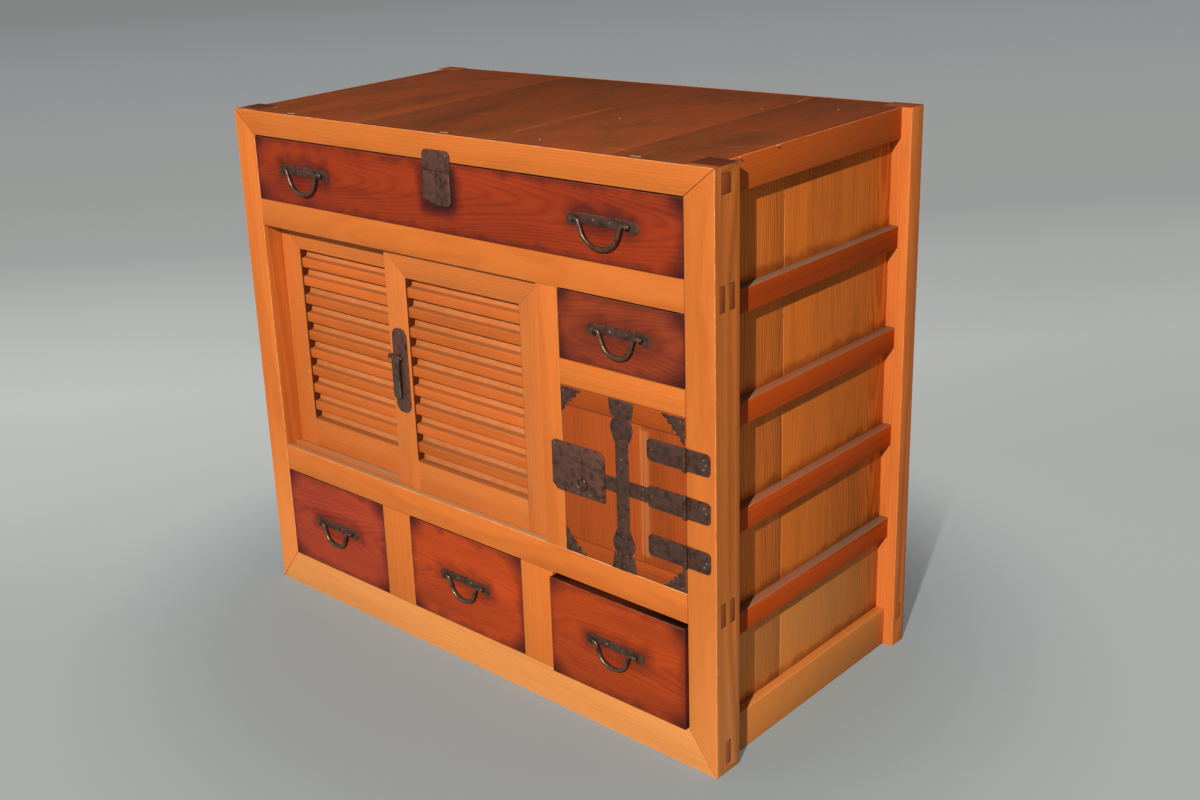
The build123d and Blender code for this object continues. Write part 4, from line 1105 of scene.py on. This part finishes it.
@dataclass(frozen=True)
class Top:
    """The boards of the top, their pegs, and the nails that were added over the years.

    Nails and the ends of scratches are X and Y in mm from the front left foot.
    """

    body: str = "cabinet"
    arris: float = 0.9 * MM
    peg_arris: float = 0.5 * MM
    nail_r: float = 1.5 * MM
    nail_h: float = 0.25 * MM
    nails: tuple[tuple[float, float], ...] = (
        (56, 36), (590, 35), (586, 195), (712, 335), (805, 371), (868, 140), (869, 63)
    )
    scratches: tuple[tuple[tuple[float, float], tuple[float, float]], ...] = (
        ((523, 60), (524, 250)), ((726, 393), (719, 441)), ((822, 101), (838, 116)), ((846, 121), (858, 131)),
        ((819, 46), (845, 42)), ((702, 36), (740, 34)),
    )

    def finish(self) -> WoodFinish:
        """Puts the scratches into the finish of the top.

        Returns:
            The finish of the top boards.
        """
        ends = [[tuple(at(*end, 0.0))[:2] for end in scratch] for scratch in self.scratches]
        return replace(TOP_BOARD, scratches=tuple(Scratch(*pair) for pair in ends))

    def build(self) -> None:
        """Makes the top boards, and the pegs with the nail heads."""
        boards = Timber("top_boards", self.body, "top_wood", Sawing.FLAT, Along.Y, self.arris)
        boards.make(self.finish())
        bm = merged_copy("top_pegs")
        ease_arrises(bm, self.peg_arris)
        lay_grain(bm, Sawing.QUARTER, Along.LONGEST, "top_pegs")
        height = extent("top_boards")[1].z
        for x, y in self.nails:
            place = at(x, y, 0)
            place.z = height
            nail(bm, place, UP, self.nail_r, self.nail_h)
        present(bm, "top_pegs_and_nails", self.body, PEG, ("top_pegs",))


@dataclass(frozen=True)
class Bail:
    """A hanging bail, forged thick at the bottom and drawn thin towards its pins."""

    name: str
    middle_r: float = 3.2 * MM
    end_r: float = 2.2 * MM
    taper: float = 1.6
    pin_r: float = 1.7 * MM
    pin_l: float = 6.5 * MM
    pin_step: float = 0.4 * MM
    knob_r: float = 2.7 * MM
    knob_l: float = 2.2 * MM
    shoulder: float = 6.0 * MM
    lean: float = 11.0 * MM
    corner_r: float = 4.5 * MM
    bottom_round: float = 1.25

    def build(self) -> None:
        """Draws the bar out along its bend, and rivets a knob on each pin."""
        node = f"{self.name}_bail"
        low, high = extent(node)
        middle = (low + high) / 2
        axis = Vector((middle.x, middle.y, high.z - self.knob_r))
        half = (high.x - low.x) / 2
        start = half - self.pin_l
        bend = start - self.shoulder
        foot = bend - self.lean
        drop = low.z + self.middle_r - axis.z
        points = [(-start, 0), (-bend, 0), (-foot, drop), (foot, drop), (bend, 0), (start, 0)]
        corners = [axis + Vector((x, 0, z)) for x, z in points]
        bottom_r = foot * self.bottom_round
        line = rounded(corners, (self.corner_r, bottom_r, bottom_r, self.corner_r))
        along = [0.0]
        for here, there in zip(line, line[1:]):
            along.append(along[-1] + (there - here).length)
        reach = along[-1] / 2
        thinner = self.middle_r - self.end_r
        radii = [self.middle_r - thinner * abs(a / reach - 1) ** self.taper for a in along]
        tip, step = Vector((half - self.knob_l, 0, 0)), Vector((self.pin_step, 0, 0))
        line = [axis - tip, line[0] - step, *line, line[-1] + step, axis + tip]
        radii = [self.pin_r, self.pin_r, *radii, self.pin_r, self.pin_r]
        bm = bmesh.new()
        bm.faces.layers.float.new("edge")
        forged(bm, line, radii)
        knob = [(r * self.knob_r, h * self.knob_l) for r, h in RIVET_KNOB]
        for side in (-1, 1):
            turned(bm, knob, axis + side * tip, Vector((side, 0, 0)))
        present(bm, f"{node}_iron", node, HANDLED_IRON, (node,))


@dataclass(frozen=True)
class Drawer:
    """One drawer: its front with the stains round its iron, its box, its plates and its bails."""

    name: str
    bails: tuple[str, ...]
    early: str
    late: str
    halo: float = 0.4
    halo_reach: float = 27 * MM
    arris: float = 1.0 * MM
    plate_half: tuple[float, float] = (47 * MM, 4.5 * MM)
    plate_nails: tuple[float, ...] = (-13.0, 13.0)

    def handles(self) -> list[tuple[float, float]]:
        """Finds where the bails hang.

        Returns:
            X and Z of each handle's middle, in metres.
        """
        boxes = [extent(f"{bail}_bail") for bail in self.bails]
        return [((low.x + high.x) / 2, high.z - Bail.knob_r) for low, high in boxes]

    def stains(self) -> list[Stain]:
        """Finds where iron and hands have darkened the front.

        Returns:
            A stain round each handle's plate.
        """
        return [Stain(x, z, *self.plate_half, self.halo_reach, self.halo) for x, z in self.handles()]

    def finish(self) -> WoodFinish:
        """Mixes the front's lacquer, dark round each plate and in the corners.

        Returns:
            The finish of this drawer's front alone.
        """
        low, high = extent(f"{self.name}_drawer_front")
        return replace(
            DRAWER_FRONT, name=f"lacquered_{self.name}_front", early=self.early, late=self.late,
            stains=tuple(self.stains()), panel=(low.x, high.x, low.z, high.z),
        )

    def build(self) -> None:
        """Makes the drawer's timber and iron."""
        body = f"{self.name}_drawer"
        front = Timber(f"{body}_front", body, "drawer_front_wood", Sawing.FLAT, Along.X, self.arris)
        front.make(self.finish())
        Timber(f"{body}_box", body, "inner_wood", sawing=Sawing.FLAT).make(BARE_SUGI)
        middles = [(x / MM - FRONT_LEFT.x, z / MM) for x, z in self.handles()]
        nails = [(x + shift, z) for x, z in middles for shift in self.plate_nails]
        Ironwork(f"{self.name}_handle_plate", body, nails=nails).make(IRON)
        for bail in self.bails:
            Bail(bail).build()


@dataclass(frozen=True)
class LockedDrawer(Drawer):
    """The wide top drawer, which also has a lock with two plates."""

    lock_half: tuple[float, float] = (23 * MM, 22 * MM)
    nail_inset: float = 6.0
    lock_nail_r: float = 1.4 * MM

    def stains(self) -> list[Stain]:
        """Adds the lock's stain to those of the handles.

        Returns:
            A stain round each handle's plate and the lock.
        """
        low, high = extent("top_drawer_lock")
        middle = ((low.x + high.x) / 2, low.z + self.lock_half[1])
        return [*super().stains(), Stain(*middle, *self.lock_half, self.halo_reach)]

    def build(self) -> None:
        """Makes the drawer, and nails its lock on by the upper corners."""
        super().build()
        low, high = measured("top_drawer_lock")
        nails = [(x, high.z - self.nail_inset) for x in (low.x + self.nail_inset, high.x - self.nail_inset)]
        lock = Ironwork("top_drawer_lock", f"{self.name}_drawer", nails=nails, nail_r=self.lock_nail_r)
        lock.make(LOCK_IRON)


@dataclass(frozen=True)
class SlidingDoor:
    """A louvred sliding door. Pins are X and Z in mm from the cabinet's front left foot."""

    side: str
    early: str = SLIDING_FRAME.early
    late: str = SLIDING_FRAME.late
    tones: tuple[float, ...] = (0.1, -0.2, 0.1, 0.0)
    slat_arris: float = 0.8 * MM
    bare_slope: tuple[float, float] = (0.1, 0.4)
    housing: float = 2.8 * MM
    slat_rise: float = 2 * MM
    recess_reach: float = 0.5 * MM
    recess_depth: float = 0.85
    pins: tuple[tuple[float, float], ...] = ()
    pin_r: float = 1.1 * MM
    pin_h: float = 0.3 * MM

    @property
    def body(self) -> str:
        """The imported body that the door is."""
        return f"{self.side}_sliding_door"

    def finish(self) -> WoodFinish:
        """Mixes the frame's finish, darker on the faces round the opening where the louvres are let in.

        Returns:
            The finish of this door's frame.
        """
        low, high = extent(f"{self.side}_sliding_slats")
        middle = ((low.x + high.x) / 2, (low.z + high.z + self.slat_rise) / 2)
        half = ((high.x - low.x) / 2 - self.housing, (high.z - low.z - self.slat_rise) / 2)
        # the faces round the opening are painted darker
        recess = Stain(*middle, *half, self.recess_reach, self.recess_depth, ragged=0.0)
        return replace(
            SLIDING_FRAME, name=f"oiled_{self.side}_door", early=self.early, late=self.late, stains=(recess,)
        )

    def build(self) -> None:
        """Makes the frame, the slats and the pins that show in them."""
        frame_node, slats_node = f"{self.side}_sliding_frame", f"{self.side}_sliding_slats"
        Timber(frame_node, self.body, "door_wood", tones=self.tones).make(self.finish())
        Timber(slats_node, self.body, "door_wood", arris=self.slat_arris, bare=self.bare_slope).make(SLAT)
        if self.pins:
            bm = bmesh.new()
            bm.faces.layers.float.new("edge")
            face_y = extent(frame_node)[0].y
            for x, z in self.pins:
                place = at(x, 0, z)
                place.y = face_y
                nail(bm, place, FORWARD, self.pin_r, self.pin_h)
            lay_grain(bm, Sawing.QUARTER, Along.LONGEST, f"{self.side}_pins")
            present(bm, f"{self.side}_door_pins", self.body, PEG)


@dataclass(frozen=True)
class LatchedDoor(SlidingDoor):
    """The right sliding door, which carries the drop latch."""

    nail_inset: float = 8.0
    latch_nail_r: float = 1.4 * MM

    def build(self) -> None:
        """Makes the door, and the latch's plate, pin and bar."""
        super().build()
        low, high = measured("latch_plate")
        middle = (low.x + high.x) / 2
        nails = ((middle, high.z - self.nail_inset), (middle, low.z + self.nail_inset))
        Ironwork("latch_plate", self.body, nails=nails, nail_r=self.latch_nail_r).make(LOCK_IRON)
        Ironwork("latch_pin", self.body).make(IRON)
        Ironwork("latch_bar", "latch_bar").make(HANDLED_IRON)


@dataclass(frozen=True)
class HingedDoor:
    """The hinged door with its straps, hinges, corner irons, lock plate and ring.

    Places are X and Z in mm from the cabinet's front left foot. The nails of the hinges are in from the
    leaves' right end instead, and up from the middle of the hinge.
    """

    body: str = "hinged_door"
    sapwood: tuple[float, float] = (766.0, 781.0)
    clamp_h: float = 30.0
    hinge_heights: tuple[float, ...] = (297.5, 363.0, 425.5)
    leaf_nail: float = 55.0
    strap_leaf_nails: tuple[tuple[float, float], ...] = ((68.0, -6.0), (68.0, 6.0))
    post_leaf_nails: tuple[tuple[float, float], ...] = ((9.2, -6.0), (9.2, 6.0), (6.0, 0.0))
    strap_nails: tuple[tuple[float, float], ...] = (
        (738, 472), (733, 458), (744, 458), (738, 425), (738, 400), (738, 388),
        (738, 340), (738, 318), (738, 295), (733, 268), (744, 268), (738, 253),
    )
    strap_nail_r: float = 1.5 * MM
    corner_nail_r: float = 1.3 * MM
    lock_nail_r: float = 1.4 * MM
    inset: float = 5.0
    clipped_inset: float = 9.0
    lock_nail_gaps: int = 4
    lock_side_nail: float = 380.0
    ring_steps: int = 36
    ring_facets: int = 12

    def ring_pull(self) -> None:
        """Spins the ring."""
        low, high = extent("door_ring_pull")
        middle = (low + high) / 2
        wire = (high.y - low.y) / 2
        radius = (high.x - low.x) / 2 - wire
        bm = bmesh.new()
        bm.faces.layers.float.new("edge")
        start = Matrix.Translation(middle + UP * radius)
        lying = Matrix.Rotation(math.pi / 2, 4, "Y")
        circle = bmesh.ops.create_circle(bm, segments=self.ring_facets, radius=wire, matrix=start @ lying)
        bmesh.ops.spin(
            bm, geom=circle["verts"] + list(bm.edges), cent=middle, axis=-FORWARD, angle=math.tau,
            steps=self.ring_steps, use_merge=True,
        )
        bmesh.ops.recalc_face_normals(bm, faces=bm.faces)
        present(bm, "door_ring_iron", "ring_pull", HANDLED_IRON, ("door_ring_pull",))

    def finish(self) -> WoodFinish:
        """Puts the pale sapwood along one board, between the clamps.

        Returns:
            The finish of the door's boards.
        """
        low, high = extent("hinged_door_boards")
        left, right = (at(x, 0, 0).x for x in self.sapwood)
        return replace(
            HINGED_BOARD, sapwood=(left, right, low.z + self.clamp_h * MM, high.z - self.clamp_h * MM)
        )

    def hinges(self) -> None:
        """Makes the three hinges, of which the middle one has a strap across the door."""
        end = measured("hinge_door_leaves")[1].x
        nails = [(end - self.leaf_nail, z) for z in self.hinge_heights]
        nails += [(end - x, self.hinge_heights[1] + rise) for x, rise in self.strap_leaf_nails]
        Ironwork("hinge_door_leaves", self.body, nails=nails).make(IRON)
        end = measured("hinge_post_leaves")[1].x
        nails = [(end - x, z + rise) for z in self.hinge_heights for x, rise in self.post_leaf_nails]
        Ironwork("hinge_post_leaves", "cabinet", nails=nails).make(IRON)
        Ironwork("hinge_pins", "cabinet").make(IRON)

    def lock(self) -> None:
        """Makes the lock plate, with a row of nails along its foot and three round its other sides."""
        low, high = measured("door_lock_plate")
        left, right = low.x + self.inset, high.x - self.inset
        foot, head = low.z + self.inset, high.z - self.inset
        step = (right - left) / self.lock_nail_gaps
        nails = [(left + step * number, foot) for number in range(1, self.lock_nail_gaps + 1)]
        clipped = (high.x - self.clipped_inset, high.z - self.clipped_inset)
        nails += [clipped, (left, head), (right, self.lock_side_nail)]
        Ironwork("door_lock_plate", self.body, nails=nails, nail_r=self.lock_nail_r).make(LOCK_IRON)

    def build(self) -> None:
        """Makes the door's timber and iron."""
        Timber("hinged_door_boards", self.body, "door_wood", sawing=Sawing.RIFT).make(self.finish())
        self.hinges()
        straps = Ironwork("door_cross_straps", self.body, nails=self.strap_nails, nail_r=self.strap_nail_r)
        straps.make(IRON)
        low, high = measured("door_corner_irons")
        sides = (low.x + self.inset, high.x - self.inset)
        nails = [(x, z) for x in sides for z in (low.z + self.inset, high.z - self.inset)]
        Ironwork("door_corner_irons", self.body, nails=nails, nail_r=self.corner_nail_r).make(IRON)
        self.lock()
        self.ring_pull()


@dataclass(frozen=True)
class Lamp:
    """A square soft box that points at the cabinet."""

    name: str
    azimuth: float
    elevation: float
    distance: float
    size: float
    power: float
    colour: str = "#FFFFFF"
    aim: tuple[float, float, float] = (0.0, 0.0, 0.4)

    def build(self) -> None:
        """Hangs the lamp."""
        turn, rise = math.radians(self.azimuth), math.radians(self.elevation)
        out = Vector((math.sin(turn) * math.cos(rise), -math.cos(turn) * math.cos(rise), math.sin(rise)))
        data = bpy.data.lights.new(self.name, "AREA")
        data.shape, data.size, data.energy = "SQUARE", self.size, self.power
        data.color = linear(self.colour)[:3]
        lamp = bpy.data.objects.new(self.name, data)
        lamp.location = Vector(self.aim) + out * self.distance
        lamp.rotation_mode = "QUATERNION"
        lamp.rotation_quaternion = out.to_track_quat("Z", "Y")
        bpy.context.scene.collection.objects.link(lamp)


@dataclass(frozen=True)
class Studio:
    """The floor, the lamps and the camera.

    Beyond the cabinet the camera sees the floor as a glowing backdrop of painted light, faintly (`haze`) up
    to `near` metres from the middle and wholly past `far`. Its painted colours go by depth along the view.
    Between the two inner `side_depths` it is painted as bright at its `sides` as `painted_side_levels` says,
    lighter on the left and darker on the right, and it evens out towards the two outer ones.
    """

    eye: tuple[float, float, float] = (1.388073, -1.514750, 1.122182)
    azimuth: float = 46.435
    elevation: float = 18.498
    roll: float = -3.568
    lens: float = 44.18
    sensor: float = 36.0
    shift: tuple[float, float] = (0.1144, -0.0436)
    floor_half: float = 24.0
    floor_colour: str = "#98A6AC"
    floor_roughness: float = 0.85
    near: float = 0.42
    far: float = 0.85
    haze: float = 0.2
    sides: tuple[float, float] = (-1.0, 1.3)
    # painted shade: the floor glows darker on the right than on the left
    painted_side_levels: tuple[float, float] = (1.04, 0.86)
    side_depths: tuple[float, float, float, float] = (0.0, 0.5, 1.5, 3.2)
    # painted light: the colours that the floor glows with, by depth along the view
    painted_backdrop: tuple[tuple[float, str], ...] = (
        (-0.5, "#AAACA9"), (0.0, "#ABADAB"), (0.5, "#B4B6B4"), (1.1, "#BCBEBB"), (1.85, "#AEB0AD"),
        (2.4, "#9DA09E"), (3.3, "#999C99"), (6.2, "#919495"), (11.0, "#828484"),
    )
    sky: float = 0.155
    sky_colour: str = "#F2F4F6"
    lamps: tuple[Lamp, ...] = (
        Lamp("key", azimuth=22.5, elevation=30.0, distance=14.0, size=0.24, power=2160.0, colour="#FFF6EA"),
        Lamp("fill", azimuth=-50.0, elevation=35.0, distance=3.5, size=2.2, power=7.5),
    )

    def paper(self) -> bpy.types.Material:
        """Mixes the paper: matt and pale under the cabinet, so that it takes a soft shadow, and round it a
        glow of painted light that only the camera sees.

        Returns:
            The material of the floor.
        """
        made = blank("painted_glow_floor")
        tree = made.node_tree
        own = add(tree, "TexCoord").outputs["Object"]
        turn = math.radians(self.azimuth)
        ahead, across = (-math.sin(turn), math.cos(turn), 0.0), (math.cos(turn), math.sin(turn), 0.0)
        depth, side = (
            add(tree, "VectorMath", {0: own, 1: way}, operation="DOT_PRODUCT") for way in (ahead, across)
        )
        first, last = self.painted_backdrop[0][0], self.painted_backdrop[-1][0]
        away = add(tree, "MapRange", {0: depth, 1: first, 2: last, 3: 0.0, 4: 1.0})
        stops = [((place - first) / (last - first), linear(code)) for place, code in self.painted_backdrop]
        shade = add(tree, "ValToRGB", {0: away}, stops=stops)
        spread = [level - 1.0 for level in self.painted_side_levels]
        level = add(tree, "MapRange", dict(enumerate((side, *self.sides, *spread))))
        here, full, fade, gone = self.side_depths
        for span in ((here, full, 0.0, 1.0), (fade, gone, 1.0, 0.0)):
            share = add(tree, "MapRange", dict(enumerate((depth, *span))))
            level = add(tree, "Math", {0: level, 1: share}, operation="MULTIPLY")
        level = add(tree, "Math", {0: level, 1: 1.0}, operation="ADD")
        radius = add(tree, "VectorMath", {0: own}, operation="LENGTH")
        limits = {0: radius, 1: self.near, 2: self.far, 3: self.haze, 4: 1.0}
        beyond = add(tree, "MapRange", limits, interpolation_type="SMOOTHSTEP")
        seen = add(tree, "LightPath").outputs["Is Camera Ray"]
        amount = add(tree, "Math", {0: beyond, 1: seen}, operation="MULTIPLY")
        look = {"Base Color": linear(self.floor_colour), "Roughness": self.floor_roughness}
        sheet = add(tree, "BsdfPrincipled", look)
        # painted light: past `far` the camera sees this glow instead of the lit paper
        glow = add(tree, "Emission", {"Color": shade, "Strength": level})
        add(tree, "OutputMaterial", {0: add(tree, "MixShader", {0: amount, 1: sheet, 2: glow})})
        return made

    def floor(self) -> None:
        """Lays a pale floor that glows with painted light beyond the cabinet."""
        bm = bmesh.new()
        bmesh.ops.create_grid(bm, x_segments=1, y_segments=1, size=self.floor_half)
        mesh = bpy.data.meshes.new("floor")
        bm.to_mesh(mesh)
        bm.free()
        mesh.materials.append(self.paper())
        piece = bpy.data.objects.new("floor", mesh)
        bpy.context.scene.collection.objects.link(piece)

    def light(self) -> None:
        """Sets up an even pale sky and the lamps."""
        scene = bpy.context.scene
        scene.view_settings.view_transform = "Standard"
        world = bpy.data.worlds.new("studio")
        scene.world = world
        world.use_nodes = True
        tree = world.node_tree
        tree.nodes.clear()
        sky = add(tree, "Background", {"Color": linear(self.sky_colour), "Strength": self.sky})
        add(tree, "OutputWorld", {0: sky})
        for lamp in self.lamps:
            lamp.build()

    def camera(self) -> None:
        """Sets up the camera: high, to the right, and slightly tipped."""
        az, el, roll = (math.radians(v) for v in (self.azimuth, self.elevation, self.roll))
        ahead = Vector((-math.sin(az) * math.cos(el), math.cos(az) * math.cos(el), -math.sin(el)))
        right = ahead.cross(UP).normalized()
        up = right.cross(ahead)
        tipped_right = right * math.cos(roll) + up * math.sin(roll)
        tipped_up = up * math.cos(roll) - right * math.sin(roll)
        data = bpy.data.cameras.new("camera")
        data.lens, data.sensor_width = self.lens, self.sensor
        data.shift_x, data.shift_y = self.shift
        eye = bpy.data.objects.new("camera", data)
        turn = Matrix((tipped_right, tipped_up, -ahead)).transposed().to_4x4()
        eye.matrix_world = Matrix.Translation(self.eye) @ turn
        bpy.context.scene.collection.objects.link(eye)
        bpy.context.scene.camera = eye

    def build(self) -> None:
        """Sets up the whole studio."""
        self.floor()
        self.light()
        self.camera()


def main() -> None:
    """Builds the cabinet and the studio."""
    logging.basicConfig(level=logging.INFO, format="%(name)s: %(message)s")
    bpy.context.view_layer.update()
    Studio().build()
    Carcass().build()
    Sides().build()
    Top().build()
    LockedDrawer("top", ("top_left", "top_right"), early="#A53D1B", late="#822B17", halo=0.65).build()
    Drawer("small", ("small",), early="#A24626", late="#823422").build()
    Drawer("lower_left", ("lower_left",), early="#A24028", late="#802C20").build()
    Drawer("lower_middle", ("lower_middle",), early="#BC4A1E", late="#983618", halo=0.45).build()
    Drawer("lower_right", ("lower_right",), early="#AC4418", late="#883018", halo=0.5).build()
    pins = tuple((78.5, z) for z in (486.0, 457.0, 428.0, 399.0, 369.0, 340.0))
    SlidingDoor("left", early="#D47838", late="#B65A24", tones=(-0.3, -0.5, 0.2, 0.1), pins=pins).build()
    LatchedDoor("right").build()
    HingedDoor().build()


if __name__ == "__main__":
    main()
